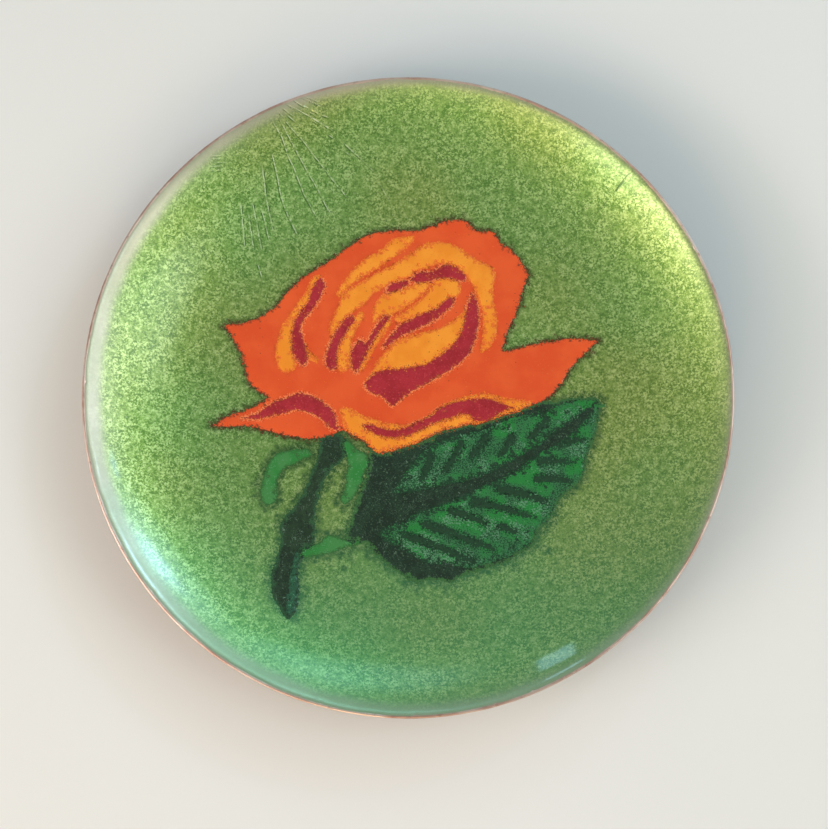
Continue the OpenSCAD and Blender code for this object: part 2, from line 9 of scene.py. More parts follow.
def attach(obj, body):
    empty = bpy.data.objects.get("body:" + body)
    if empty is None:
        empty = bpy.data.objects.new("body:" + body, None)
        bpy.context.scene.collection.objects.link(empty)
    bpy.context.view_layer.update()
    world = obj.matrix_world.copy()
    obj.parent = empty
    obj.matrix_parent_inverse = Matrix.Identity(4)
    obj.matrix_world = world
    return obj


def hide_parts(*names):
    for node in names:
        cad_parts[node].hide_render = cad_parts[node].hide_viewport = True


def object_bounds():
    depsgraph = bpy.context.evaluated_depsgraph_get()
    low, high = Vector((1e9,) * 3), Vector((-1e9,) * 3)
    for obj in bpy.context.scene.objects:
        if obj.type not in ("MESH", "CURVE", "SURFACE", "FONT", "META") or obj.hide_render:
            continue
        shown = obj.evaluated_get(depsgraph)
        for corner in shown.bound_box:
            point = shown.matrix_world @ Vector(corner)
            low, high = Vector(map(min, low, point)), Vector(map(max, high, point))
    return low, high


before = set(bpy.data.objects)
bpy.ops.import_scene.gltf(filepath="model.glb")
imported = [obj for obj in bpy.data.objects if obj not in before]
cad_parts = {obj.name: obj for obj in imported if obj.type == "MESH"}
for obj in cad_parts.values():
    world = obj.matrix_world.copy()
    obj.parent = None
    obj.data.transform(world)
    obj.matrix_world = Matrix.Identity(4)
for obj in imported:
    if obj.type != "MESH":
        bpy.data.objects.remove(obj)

CAD_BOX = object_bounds()

# ---------------------------------------------------------------- the dish's section, in mm
MM = 0.001
RIM_R = (CAD_BOX[1].x - CAD_BOX[0].x) / 2 / MM
BASE_R = 38.0
RIM_SLOPE = math.radians(36.0)
SHEET = 0.8
GROUND = 0.25
COUNTER = 0.25
LIP_R = SHEET / 2 + 0.005
ARC_MID = (RIM_R - BASE_R - LIP_R) / math.sin(RIM_SLOPE)
ARC_Z = COUNTER + SHEET / 2 + ARC_MID
COPPER_OUT = ARC_MID + SHEET / 2
COPPER_IN = ARC_MID - SHEET / 2
GROUND_TOP = COPPER_IN - GROUND
COUNTER_OUT = COPPER_OUT + COUNTER
BODY_T, STROKE_T, VEIN_T = 0.12, 0.10, 0.08
BARE_BACK = 0.6  # bare copper left above the counter enamel
SINK = 0.02  # how far one layer reaches into the next, so that no gap shows between them
FAR = 3.0  # distances to an outline are not followed further than this


def z_at(r, radius):
    """Height of a surface whose wall is an arc of this radius, at distance r from the axis."""
    over = np.maximum(np.asarray(r, float) - BASE_R, 0.0)
    return ARC_Z - np.sqrt(np.maximum(np.asarray(radius) ** 2 - over**2, 0.0))


# ---------------------------------------------------------------- seeded noise
def value_noise(x, y, size, seed):
    """Smooth noise from -1 to 1 whose bumps are about size mm wide."""
    table = np.random.default_rng(seed).uniform(-1, 1, (128, 128))
    u, v = np.asarray(x) / size, np.asarray(y) / size
    i, j = np.floor(u).astype(int), np.floor(v).astype(int)
    fu, fv = u - i, v - j
    fu, fv = fu * fu * (3 - 2 * fu), fv * fv * (3 - 2 * fv)
    a, b = table[i % 128, j % 128], table[(i + 1) % 128, j % 128]
    c, d = table[i % 128, (j + 1) % 128], table[(i + 1) % 128, (j + 1) % 128]
    return (a * (1 - fu) + b * fu) * (1 - fv) + (c * (1 - fu) + d * fu) * fv


def undulation(x, y):
    """The slow waves of fired enamel, in mm, dying out towards the rim."""
    fade = np.clip((RIM_R - 3 - np.hypot(x, y)) / 12, 0, 1)
    return fade * (0.022 * value_noise(x, y, 11, 5) + 0.008 * value_noise(x, y, 3.1, 6))


# ---------------------------------------------------------------- outlines from the CAD coats
def top_segments(node):
    """The outline of a coat seen from above: the edges that only one upward face uses, in mm."""
    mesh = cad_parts[node].data
    seen = {}
    for p in mesh.polygons:
        if p.normal.z < 0.5:
            continue
        loop = [tuple(round(c / MM, 3) for c in mesh.vertices[v].co[:2]) for v in p.vertices]
        for a, b in zip(loop, loop[1:] + loop[:1]):
            if a != b:
                key = (a, b) if a < b else (b, a)
                seen[key] = seen.get(key, 0) + 1
    return np.array([(*a, *b) for (a, b), n in seen.items() if n == 1])


class Grid:
    """A square lattice of points over a box, in mm."""

    def __init__(self, low, high, cell):
        self.cell = cell
        self.x0, self.y0 = low[0], low[1]
        self.nx = int(math.ceil((high[0] - low[0]) / cell)) + 1
        self.ny = int(math.ceil((high[1] - low[1]) / cell)) + 1
        self.x = self.x0 + cell * np.arange(self.nx)
        self.y = self.y0 + cell * np.arange(self.ny)
        self.xx, self.yy = np.meshgrid(self.x, self.y)

    def window(self, x1, y1, x2, y2):
        i1 = max(int((x1 - self.x0) / self.cell), 0)
        i2 = min(int((x2 - self.x0) / self.cell) + 2, self.nx)
        j1 = max(int((y1 - self.y0) / self.cell), 0)
        j2 = min(int((y2 - self.y0) / self.cell) + 2, self.ny)
        return slice(j1, max(j2, j1)), slice(i1, max(i2, i1))

    def sample(self, values, x, y):
        u = np.clip((np.asarray(x) - self.x0) / self.cell, 0, self.nx - 1.001)
        v = np.clip((np.asarray(y) - self.y0) / self.cell, 0, self.ny - 1.001)
        i, j = u.astype(int), v.astype(int)
        fu, fv = u - i, v - j
        low = values[j, i] * (1 - fu) + values[j, i + 1] * fu
        high = values[j + 1, i] * (1 - fu) + values[j + 1, i + 1] * fu
        return low * (1 - fv) + high * fv


def signed_distance(grid, segments):
    """Distance to the outline in mm, up to FAR, positive inside."""
    dist = np.full((grid.ny, grid.nx), FAR)
    toggles = np.zeros((grid.ny, grid.nx + 1), int)
    for ax, ay, bx, by in segments:
        w = grid.window(min(ax, bx) - FAR, min(ay, by) - FAR, max(ax, bx) + FAR, max(ay, by) + FAR)
        px, py = grid.xx[w] - ax, grid.yy[w] - ay
        dx, dy = bx - ax, by - ay
        t = np.clip((px * dx + py * dy) / (dx * dx + dy * dy), 0, 1)
        dist[w] = np.minimum(dist[w], np.hypot(px - t * dx, py - t * dy))
        if ay != by:
            low, high = min(ay, by), max(ay, by)
            j = np.nonzero((grid.y >= low) & (grid.y < high))[0]
            cross = ax + (grid.y[j] - ay) / dy * dx
            i = np.clip(np.ceil((cross - grid.x0) / grid.cell).astype(int), 0, grid.nx)
            np.add.at(toggles, (j, i), 1)
    inside = np.cumsum(toggles, axis=1)[:, : grid.nx] % 2 == 1
    return np.where(inside, dist, -dist)


def scatter(grid, field, count, radii, reach, rng, outside):
    """Adds loose grains just outside an outline, or pits just inside it."""
    base = field.copy()
    low = (grid.x0, grid.y0)
    size = (grid.x[-1] - grid.x0, grid.y[-1] - grid.y0)
    placed = 0
    for _ in range(400):
        if placed >= count:
            break
        pts = rng.uniform(0, 1, (4000, 2)) * size + low
        depth = grid.sample(base, pts[:, 0], pts[:, 1]) * (-1 if outside else 1)
        keep = (depth > 0.05) & (depth < 2.9) & (rng.uniform(0, 1, 4000) < np.exp(-depth / reach))
        for x, y in pts[keep][: count - placed]:
            r = rng.uniform(*radii)
            w = grid.window(x - r - 0.4, y - r - 0.4, x + r + 0.4, y + r + 0.4)
            d = np.hypot((grid.xx[w] - x) * rng.uniform(0.75, 1.3), grid.yy[w] - y)
            field[w] = np.maximum(field[w], r - d) if outside else np.minimum(field[w], d - r)
            placed += 1


# Which sides of a lattice square (bottom, top, left, right) the zero line joins. The key adds up the corners
# inside: lower left 1, lower right 2, upper right 4, upper left 8.
CORNER_CASES = {
    1: [("l", "b")], 2: [("b", "r")], 3: [("l", "r")], 4: [("r", "t")], 5: [("l", "t"), ("b", "r")],
    6: [("b", "t")], 7: [("l", "t")], 8: [("t", "l")], 9: [("b", "t")], 10: [("l", "b"), ("t", "r")],
    11: [("r", "t")], 12: [("l", "r")], 13: [("b", "r")], 14: [("l", "b")],
}


def contour(grid, field):
    """The zero line of a field as points and edges."""
    inside = field > 0
    points = []

    def cut(j, i, dj, di):
        a, b = field[j, i], field[j + dj, i + di]
        t = np.clip(a / (a - b), 0.1, 0.9)
        return np.stack([grid.x0 + grid.cell * (i + t * di), grid.y0 + grid.cell * (j + t * dj)], 1)

    h = np.full(inside.shape, -1)
    v = np.full(inside.shape, -1)
    j, i = np.nonzero(inside[:, 1:] != inside[:, :-1])
    points.append(cut(j, i, 0, 1))
    h[j, i] = np.arange(len(j))
    total = len(j)
    j, i = np.nonzero(inside[1:] != inside[:-1])
    points.append(cut(j, i, 1, 0))
    v[j, i] = total + np.arange(len(j))
    a, b = inside[:-1, :-1], inside[:-1, 1:]
    c, d = inside[1:, 1:], inside[1:, :-1]
    case = a * 1 + b * 2 + c * 4 + d * 8
    sides = {
        "b": lambda j, i: h[j, i],
        "t": lambda j, i: h[j + 1, i],
        "l": lambda j, i: v[j, i],
        "r": lambda j, i: v[j, i + 1],
    }
    edges = []
    for k, pairs in CORNER_CASES.items():
        j, i = np.nonzero(case == k)
        for one, two in pairs:
            edges.append(np.stack([sides[one](j, i), sides[two](j, i)], 1))
    return np.concatenate(points), np.concatenate(edges)


def triangulate(points, edges):
    """Triangles of the region that closed outlines bound, holes left open.

    Returns the points, the triangles and which of the points are on an outline.
    """
    verts, _, faces, came_from, _, _ = delaunay_2d_cdt(
        [Vector(p) for p in points.tolist()], [tuple(e) for e in edges.tolist()], [], 0, 1e-6, True
    )
    new = {}
    for i, olds in enumerate(came_from):
        for old in olds:
            new[old] = i
    walls = {(min(new[a], new[b]), max(new[a], new[b])) for a, b in edges.tolist()}
    sides = {}
    for f, (a, b, c) in enumerate(faces):
        for p, q in ((a, b), (b, c), (c, a)):
            sides.setdefault((p, q) if p < q else (q, p), []).append(f)
    state = [None] * len(faces)
    todo = []
    for side, owners in sides.items():
        if len(owners) == 1:
            state[owners[0]] = side in walls
            todo.append(owners[0])
    while todo:
        f = todo.pop()
        a, b, c = faces[f]
        for p, q in ((a, b), (b, c), (c, a)):
            side = (p, q) if p < q else (q, p)
            for g in sides[side]:
                if state[g] is None:
                    state[g] = state[f] != (side in walls)
                    todo.append(g)
    kept = np.array([f for f, s in zip(faces, state) if s])
    rim = np.zeros(len(verts), bool)
    for a, b in walls:
        rim[a] = rim[b] = True
    pts = np.array([tuple(v) for v in verts])
    used = np.unique(kept)
    back = np.full(len(pts), -1)
    back[used] = np.arange(len(used))
    return pts[used], back[kept], rim[used]


# ---------------------------------------------------------------- meshes
def make_object(name, verts_mm, faces, attributes, material, outline=None):
    """A mesh from points in mm; edges that join two points of the outline are kept sharp."""
    mesh = bpy.data.meshes.new(name)
    mesh.from_pydata((np.asarray(verts_mm) * MM).tolist(), [], faces)
    if outline is not None:
        ends = np.empty(2 * len(mesh.edges), np.int32)
        mesh.edges.foreach_get("vertices", ends)
        mesh.edges.foreach_set("use_edge_sharp", outline[ends.reshape(-1, 2)].all(1))
    for key, values in attributes.items():
        mesh.attributes.new(key, "FLOAT", "POINT").data.foreach_set("value", np.asarray(values, np.float32))
    mesh.polygons.foreach_set("use_smooth", np.full(len(mesh.polygons), True))
    mesh.materials.append(material)
    mesh.update()
    obj = bpy.data.objects.new(name, mesh)
    bpy.context.scene.collection.objects.link(obj)
    return obj


def finish_piece(obj, node):
    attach(obj, "root")
    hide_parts(node)


def shell(pts, tris, rim, top, bottom, edge):
    """A closed thin solid: the top and bottom surfaces share the points of the outline.

    Returns its points, its faces, and for each point its edge value and whether it is on the outline.
    """
    n = len(pts)
    inner = np.nonzero(~rim)[0]
    below = np.arange(n)
    below[inner] = n + np.arange(len(inner))
    verts = np.concatenate([np.c_[pts, np.where(rim, bottom, top)], np.c_[pts[inner], bottom[inner]]])
    a, b, c = pts[tris[:, 0]], pts[tris[:, 1]], pts[tris[:, 2]]
    turn = (b[:, 0] - a[:, 0]) * (c[:, 1] - a[:, 1]) - (b[:, 1] - a[:, 1]) * (c[:, 0] - a[:, 0])
    up = np.where(turn[:, None] > 0, tris, tris[:, ::-1])
    faces = np.concatenate([up, below[up][:, ::-1]])
    return verts, faces.tolist(), np.concatenate([edge, edge[inner]]), np.concatenate([rim, rim[inner]])


# The picture's CAD nodes, in groups.
BLOOM = ("bloom_orange_coat",)
YELLOWS = (
    "yellow_upper_streak", "yellow_outer_petal", "yellow_left_petal", "yellow_left_stroke", "yellow_middle_stroke",
    "yellow_bud_upper", "yellow_bud_lower", "yellow_hem",
)
CRIMSONS = (
    "crimson_left_stroke", "crimson_second_stroke", "crimson_forked_stroke", "crimson_bud_arcs",
    "crimson_bud_stroke", "crimson_crescent", "crimson_low_petal_shadow", "crimson_hem_shadow",
)
VEINS = ("leaf_veins_upper", "leaf_veins_lower")
LEAVES = ("leaf_upper_half", "leaf_lower_half")
SHADES = ("leaf_dark_base", "stem_dark")
SPROUTS = ("twig_green", "sepal_left", "sepal_right")

MOTIF_REACH = 58
SHEET_GRID = Grid((-MOTIF_REACH, -MOTIF_REACH), (MOTIF_REACH, MOTIF_REACH), 0.25)
# How far the coats laid so far stand above the ground, in mm.
heights = np.zeros((SHEET_GRID.ny, SHEET_GRID.nx))
# Signed distance to the first coats laid so far: the bloom is warm; the stem, leaf, twig and sepals are cool.
laid = {"warm": np.full(heights.shape, -FAR), "cool": np.full(heights.shape, -FAR)}
# Signed distance to the outlines of a group in the CAD, positive inside.
planned = {
    key: np.max([signed_distance(SHEET_GRID, top_segments(n)) for n in nodes], axis=0)
    for key, nodes in (
        ("bloom", BLOOM), ("yellow", YELLOWS), ("crimson", CRIMSONS), ("vein", VEINS), ("shade", SHADES),
    )
}


def grainy_field(node, seed, cell, rough, grains, pits, grow, spread):
    """The outline of a coat as sifted enamel leaves it: ragged, with loose grains outside and pits inside."""
    segments = top_segments(node)
    margin = 2.0
    low = segments.reshape(-1, 2).min(0) - margin
    high = segments.reshape(-1, 2).max(0) + margin
    grid = Grid(low, high, cell)
    field = signed_distance(grid, segments) + grow
    rng = np.random.default_rng(seed)
    ragged = value_noise(grid.xx, grid.yy, 0.27, seed) + 0.8 * value_noise(grid.xx, grid.yy, 0.62, seed + 1)
    slow = value_noise(grid.xx, grid.yy, 2.6, seed + 2)
    field = field + rough * ragged + 0.07 * slow
    length = np.hypot(*(segments[:, :2] - segments[:, 2:]).T).sum()
    scatter(grid, field, int(length * grains), (0.065, 0.15), spread, rng, True)
    scatter(grid, field, int(length * pits), (0.07, 0.14), spread, rng, False)
    return grid, field


def lay_coat(name, node, slot, material, thickness, seed, cell=0.15, rough=0.13, grains=0.9, pits=0.5,
             taper=0.28, grow=0.0, spread=0.33, over=None, near=()):
    """Builds one coat on top of those already laid, and adds it to the heights.

    Lengths are in mm; grains and pits are the counts wanted per mm of outline. near names the planned outlines
    whose distance the coat carries for its material; its points are closer together along them. over says
    which of the laid maps the coat joins.
    """
    grid, field = grainy_field(node, seed, cell, rough, grains, pits, grow, spread)
    line, edges = contour(grid, field)
    fine = np.zeros(field.shape, bool)
    fine[::2, ::2] = True
    wide = np.zeros(field.shape, bool)
    wide[::7, ::7] = True
    detail = (field > 0.8 * cell) & (field < 0.5)
    for key in near:
        around_it = SHEET_GRID.sample(planned[key], grid.xx, grid.yy)
        detail |= (field > 0.8 * cell) & (np.abs(around_it + 0.4) < 0.9)
    pick = (fine & detail) | (wide & ~detail & (field >= 0.5))
    inner = np.stack([grid.xx[pick], grid.yy[pick]], 1)
    pts, tris, rim = triangulate(np.concatenate([line, inner]), edges)
    edge = np.where(rim, 0, np.maximum(grid.sample(field, pts[:, 0], pts[:, 1]), 0))
    base = SHEET_GRID.sample(heights, pts[:, 0], pts[:, 1])
    share = np.clip(edge / taper, 0, 1)
    lift = base + thickness * (1 - (1 - share) ** 2)
    r = np.hypot(pts[:, 0], pts[:, 1])
    wave = undulation(pts[:, 0], pts[:, 1])
    top = z_at(r, GROUND_TOP - lift - wave)
    bottom = z_at(r, GROUND_TOP - base - wave)
    verts, faces, edge_all, outline = shell(pts, tris, rim, top, bottom, edge)
    attributes = {"edge": edge_all}
    for key in near:
        attributes[key] = SHEET_GRID.sample(planned[key], verts[:, 0], verts[:, 1])
    obj = make_object(name, verts, faces, attributes, material, outline)
    cover = grid.sample(field, SHEET_GRID.xx, SHEET_GRID.yy)
    out = (
        (SHEET_GRID.xx < grid.x0) | (SHEET_GRID.xx > grid.x[-1])
        | (SHEET_GRID.yy < grid.y0) | (SHEET_GRID.yy > grid.y[-1])
    )
    cover = np.where(out, -FAR, cover)
    full = np.clip(cover / taper, 0, 1)
    heights[:] = heights + thickness * (1 - (1 - full) ** 2)
    if over is not None:
        laid[over][:] = np.maximum(laid[over], cover)
    finish_piece(obj, node)


# ---------------------------------------------------------------- node helpers
def srgb(r, g, b):
    """A linear colour from 0-255 display values."""
    def one(v):
        v = v / 255
        return v / 12.92 if v <= 0.04045 else ((v + 0.055) / 1.055) ** 2.4
    return (one(r), one(g), one(b), 1.0)


class Tree:
    """Short ways to build one material's nodes. Places come in mm, in the dish's own frame."""

    def __init__(self, name, **principled):
        self.material = bpy.data.materials.new(name)
        self.material.use_nodes = True
        self.nt = self.material.node_tree
        self.shader = self.nt.nodes["Principled BSDF"]
        for key, value in principled.items():
            self.shader.inputs[key.replace("_", " ")].default_value = value
        coords = self.nt.nodes.new("ShaderNodeTexCoord")
        scale = self.nt.nodes.new("ShaderNodeVectorMath")
        scale.operation = "SCALE"
        scale.inputs["Scale"].default_value = 1 / MM
        self.nt.links.new(coords.outputs["Object"], scale.inputs[0])
        self.place = scale.outputs[0]

    def link(self, value, socket):
        """Sets a socket to a number or a colour, or links another node's output to it."""
        if isinstance(value, (int, float, tuple)):
            socket.default_value = value
        else:
            self.nt.links.new(value, socket)

    def math(self, operation, a, b=0.0, c=0.0):
        n = self.nt.nodes.new("ShaderNodeMath")
        n.operation = operation
        for value, socket in zip((a, b, c), n.inputs):
            self.link(value, socket)
        return n.outputs[0]

    def noise(self, size, detail=2.0, rough=0.5, place=None, distortion=0.0):
        """Noise from 0 to 1 whose bumps are about size mm wide."""
        n = self.nt.nodes.new("ShaderNodeTexNoise")
        n.inputs["Scale"].default_value = 1 / size
        n.inputs["Detail"].default_value = detail
        n.inputs["Roughness"].default_value = rough
        n.inputs["Distortion"].default_value = distortion
        self.link(place or self.place, n.inputs["Vector"])
        return n.outputs["Fac"]

    def cells(self, size):
        """Distance to the nearest of scattered points about size mm apart, in units of size."""
        n = self.nt.nodes.new("ShaderNodeTexVoronoi")
        n.inputs["Scale"].default_value = 1 / size
        self.link(self.place, n.inputs["Vector"])
        return n.outputs["Distance"]

    def ramp(self, value, low, high, to_low=0.0, to_high=1.0, smooth=True):
        n = self.nt.nodes.new("ShaderNodeMapRange")
        n.interpolation_type = "SMOOTHSTEP" if smooth else "LINEAR"
        limits = (low, high, to_low, to_high)
        self.link(value, n.inputs["Value"])
        for v, key in zip(limits, ("From Min", "From Max", "To Min", "To Max")):
            self.link(v, n.inputs[key])
        return n.outputs[0]

    def mix(self, share, a, b):
        n = self.nt.nodes.new("ShaderNodeMix")
        n.data_type = "RGBA"
        self.link(share, n.inputs[0])
        self.link(a, n.inputs[6])
        self.link(b, n.inputs[7])
        return n.outputs[2]

    def attribute(self, name):
        n = self.nt.nodes.new("ShaderNodeAttribute")
        n.attribute_name = name
        return n.outputs["Fac"]

    def split(self, vector):
        n = self.nt.nodes.new("ShaderNodeSeparateXYZ")
        self.link(vector, n.inputs[0])
        return n.outputs

    def shifted(self, mm):
        """The same place moved aside, so that two noises of one size don't coincide."""
        n = self.nt.nodes.new("ShaderNodeVectorMath")
        n.operation = "ADD"
        self.nt.links.new(self.place, n.inputs[0])
        n.inputs[1].default_value = (mm, mm * 0.7, -mm * 0.4)
        return n.outputs[0]

    def speckle(self, share, size, shift=0.0, soft=0.02):
        """Grains that cover about this share of the surface, which may change from place to place."""
        grain = self.noise(size, rough=0.6, place=self.shifted(shift))
        level = self.math("MULTIPLY_ADD", self.math("SUBTRACT", share, 0.5), 0.5, grain)
        return self.ramp(level, 0.5 - soft, 0.5 + soft)

    def radius(self):
        x, y, _ = self.split(self.place)
        return self.math("SQRT", self.math("ADD", self.math("MULTIPLY", x, x), self.math("MULTIPLY", y, y)))

    def bump(self, height, mm, strength=1.0):
        n = self.nt.nodes.new("ShaderNodeBump")
        n.inputs["Strength"].default_value = strength
        n.inputs["Distance"].default_value = mm * MM
        self.link(height, n.inputs["Height"])
        self.nt.links.new(n.outputs[0], self.shader.inputs["Normal"])

    def paint(self, colour, rough=None, metal=None):
        """Links what is given to the shader and returns the finished material."""
        for value, key in ((colour, "Base Color"), (rough, "Roughness"), (metal, "Metallic")):
            if value is not None:
                self.link(value, self.shader.inputs[key])
        return self.material


# ---------------------------------------------------------------- enamels and metal
RIM_HAZE = (68.5, 74.5)  # mm from the axis over which the ground turns paler
RIM_BAND = (72.2, 75.0)  # and then beige
PAINTED_REFLECTION_REACH = (5.0, 60.0)  # mm towards the lower edge over which the painted blue-green reflection grows
PAINTED_REFLECTION_MOST = 0.42


def ground_enamel():
    """Clear green enamel over bright copper, so it glitters like metal under a glossy skin.

    The beige band at the rim follows the photo, though it is not known how much of it is reflected light. The
    blue-green towards the lower edge is a painted reflection.
    """
    t = Tree("green_enamel", Metallic=0.78, IOR=1.5, Specular_IOR_Level=0.1,
             Coat_Weight=1.0, Coat_Roughness=0.06, Coat_IOR=1.5)
    r = t.radius()
    fine = t.math("SUBTRACT", t.noise(0.52, detail=3.0, rough=0.65, distortion=0.6), 0.5)
    broad = t.math("SUBTRACT", t.noise(1.5, detail=2.0), 0.5)
    uneven = t.ramp(t.noise(3.4, detail=2.0), 0.36, 0.62, 0.5, 1.1)
    calm = t.math("MULTIPLY", uneven, t.ramp(r, 34, 62, 0.85, 1.15))
    grain = t.math("MULTIPLY_ADD", fine, calm, t.math("MULTIPLY_ADD", broad, 0.35, 0.5))
    patch = t.ramp(t.noise(30.0, detail=0.0), 0.30, 0.70)
    body = t.mix(patch, srgb(134, 178, 88), srgb(148, 176, 84))
    light = t.mix(patch, srgb(190, 224, 140), srgb(204, 222, 136))
    dark = t.mix(patch, srgb(92, 140, 58), srgb(104, 138, 56))
    colour = t.mix(t.ramp(grain, 0.39, 0.50), dark, body)
    colour = t.mix(t.ramp(grain, 0.50, 0.63), colour, light)
    bright = t.ramp(t.noise(0.36, detail=1.0), 0.64, 0.76)
    colour = t.mix(t.math("MULTIPLY", bright, 0.55), colour, srgb(226, 236, 178))
    pits = t.ramp(t.noise(0.42, detail=1.0, place=t.shifted(30)), 0.34, 0.26)
    colour = t.mix(t.math("MULTIPLY", pits, 0.6), colour, srgb(62, 104, 44))
    cool = t.math("MULTIPLY", t.attribute("halo_cool"), t.ramp(grain, 0.35, 0.65, 1.0, 0.45))
    colour = t.mix(cool, colour, srgb(48, 92, 44))
    warm = t.math("MULTIPLY", t.attribute("halo_warm"), t.ramp(grain, 0.35, 0.65, 0.9, 0.35))
    colour = t.mix(warm, colour, srgb(70, 98, 42))
    close = t.math("POWER", t.attribute("halo_warm"), 3.0)
    colour = t.mix(t.speckle(t.math("MULTIPLY", close, 0.6), 0.3, 51), colour, srgb(96, 66, 32))
    x, y, _ = t.split(t.place)
    lean = t.math("MULTIPLY_ADD", x, -0.022, t.math("MULTIPLY", y, -0.010))
    drift = t.math("SUBTRACT", t.noise(9.0, detail=1.0), 0.5)
    wobble = t.math("ADD", drift, t.math("ADD", r, lean))
    pale = t.mix(t.ramp(t.noise(12.0, detail=1.0), 0.38, 0.62), srgb(192, 190, 162), srgb(202, 196, 172))
    colour = t.mix(t.ramp(wobble, *RIM_HAZE, 0.0, 0.35), colour, srgb(176, 190, 140))
    colour = t.mix(t.ramp(wobble, *RIM_BAND, 0.0, 0.9), colour, pale)
    # The creases' light and dark sides are a painted highlight and a painted shade, broken into patches.
    crease_light_patches = t.ramp(t.noise(1.1, detail=2.0, place=t.shifted(90)), 0.40, 0.56, 0.15, 1.0)
    line = t.attribute("crease")
    crease_painted_highlight = t.math("MULTIPLY", t.ramp(line, 0.05, 0.8, 0.0, 0.95), crease_light_patches)
    colour = t.mix(crease_painted_highlight, colour, srgb(236, 246, 206))
    crease_painted_shade = t.math("MULTIPLY", t.ramp(line, -0.05, -0.7, 0.0, 0.9), crease_light_patches)
    colour = t.mix(crease_painted_shade, colour, srgb(70, 108, 46))
    # A painted blue-green reflection that grows towards the lower edge.
    painted_reflection_share = t.math("MULTIPLY_ADD", y, -0.9, t.math("MULTIPLY", x, 0.1))
    colour = t.mix(t.ramp(painted_reflection_share, *PAINTED_REFLECTION_REACH, 0.0, PAINTED_REFLECTION_MOST), colour, srgb(80, 170, 118))
    t.bump(t.noise(1.1, detail=2.0), 0.012, 0.5)
    return t.paint(colour, t.ramp(grain, 0.35, 0.65, 0.46, 0.36))


def glossy(name):
    """Fired enamel: a clear smooth skin over a body that barely shines by itself."""
    return Tree(name, IOR=1.5, Specular_IOR_Level=0.1, Roughness=0.4,
                Coat_Weight=0.9, Coat_Roughness=0.05, Coat_IOR=1.5)


def fringe(t, key, start, end, most):
    """A share of grains that grows from 0 where the signed distance is start to most where it is end."""
    return t.ramp(t.attribute(key), start, end, 0.0, most, smooth=False)


def orange_enamel():
    t = glossy("orange_enamel")
    colour = t.mix(t.ramp(t.noise(7.0, detail=3.0), 0.38, 0.62), srgb(223, 79, 29), srgb(230, 89, 36))
    colour = t.mix(t.speckle(0.16, 0.45), colour, srgb(220, 92, 50))
    colour = t.mix(t.speckle(fringe(t, "crimson", -1.3, 0.0, 0.75), 0.36, 11), colour, srgb(244, 132, 76))
    colour = t.mix(t.speckle(fringe(t, "yellow", -0.7, 0.05, 0.5), 0.36, 23), colour, srgb(244, 142, 40))
    colour = t.mix(t.speckle(fringe(t, "crimson", -1.1, 0.1, 0.5), 0.3, 37), colour, srgb(150, 44, 34))
    colour = t.mix(t.speckle(fringe(t, "edge", 0.7, 0.0, 0.62), 0.3, 41), colour, srgb(138, 58, 30))
    dots = t.ramp(t.cells(2.3), 0.075, 0.04)
    colour = t.mix(t.math("MULTIPLY", dots, 0.8), colour, srgb(120, 46, 24))
    t.bump(t.noise(1.3, detail=2.0), 0.008, 0.5)
    return t.paint(colour)


def yellow_enamel():
    t = glossy("yellow_enamel")
    colour = t.mix(t.ramp(t.noise(5.0, detail=3.0), 0.38, 0.62), srgb(240, 140, 32), srgb(247, 152, 42))
    colour = t.mix(t.speckle(0.2, 0.4), colour, srgb(240, 128, 34))
    colour = t.mix(t.speckle(fringe(t, "edge", 0.8, 0.0, 0.8), 0.3, 13), colour, srgb(232, 112, 36))
    colour = t.mix(t.speckle(fringe(t, "crimson", -1.5, 0.0, 0.5), 0.3, 29), colour, srgb(150, 66, 30))
    colour = t.mix(t.speckle(fringe(t, "bloom", 1.6, 0.0, 0.55), 0.32, 31), colour, srgb(104, 56, 28))
    dots = t.ramp(t.cells(1.9), 0.10, 0.05)
    colour = t.mix(t.math("MULTIPLY", dots, 0.75), colour, srgb(150, 66, 30))
    t.bump(t.noise(1.3, detail=2.0), 0.008, 0.5)
    return t.paint(colour)


def crimson_enamel():
    t = glossy("crimson_enamel")
    colour = t.mix(t.ramp(t.noise(4.0, detail=3.0), 0.38, 0.62), srgb(156, 30, 38), srgb(172, 38, 48))
    colour = t.mix(t.speckle(0.26, 0.42), colour, srgb(186, 56, 64))
    colour = t.mix(t.speckle(0.18, 0.4, 17), colour, srgb(128, 22, 34))
    colour = t.mix(t.speckle(fringe(t, "edge", 0.5, 0.0, 0.6), 0.3, 19), colour, srgb(176, 58, 40))
    t.bump(t.noise(1.3, detail=2.0), 0.008, 0.5)
    return t.paint(colour)


def leaf_enamel():
    t = glossy("leaf_enamel")
    cloud = t.noise(6.5, detail=2.0)
    colour = t.mix(t.ramp(cloud, 0.40, 0.60), srgb(34, 122, 52), srgb(50, 112, 66))
    misty = t.ramp(t.noise(5.0, detail=2.0, place=t.shifted(60)), 0.44, 0.62, 0.08, 0.5)
    colour = t.mix(t.speckle(misty, 0.42, 5), colour, srgb(92, 138, 104))
    colour = t.mix(t.speckle(t.ramp(cloud, 0.40, 0.62, 0.22, 0.5), 0.34, 9), colour, srgb(24, 66, 36))
    colour = t.mix(t.speckle(fringe(t, "vein", -1.8, 0.0, 0.62), 0.36, 15), colour, srgb(22, 54, 32))
    inner = t.math("MULTIPLY", fringe(t, "edge", 1.3, 0.0, 0.75), t.ramp(t.attribute("shade"), 0.8, 2.6))
    colour = t.mix(t.speckle(inner, 0.36, 21), colour, srgb(22, 56, 32))
    outer = fringe(t, "shade", 1.5, 0.2, 0.6)
    colour = t.mix(t.speckle(outer, 0.4, 45, soft=0.06), colour, srgb(52, 108, 54))
    t.bump(t.noise(1.1, detail=2.0), 0.010, 0.5)
    return t.paint(colour)


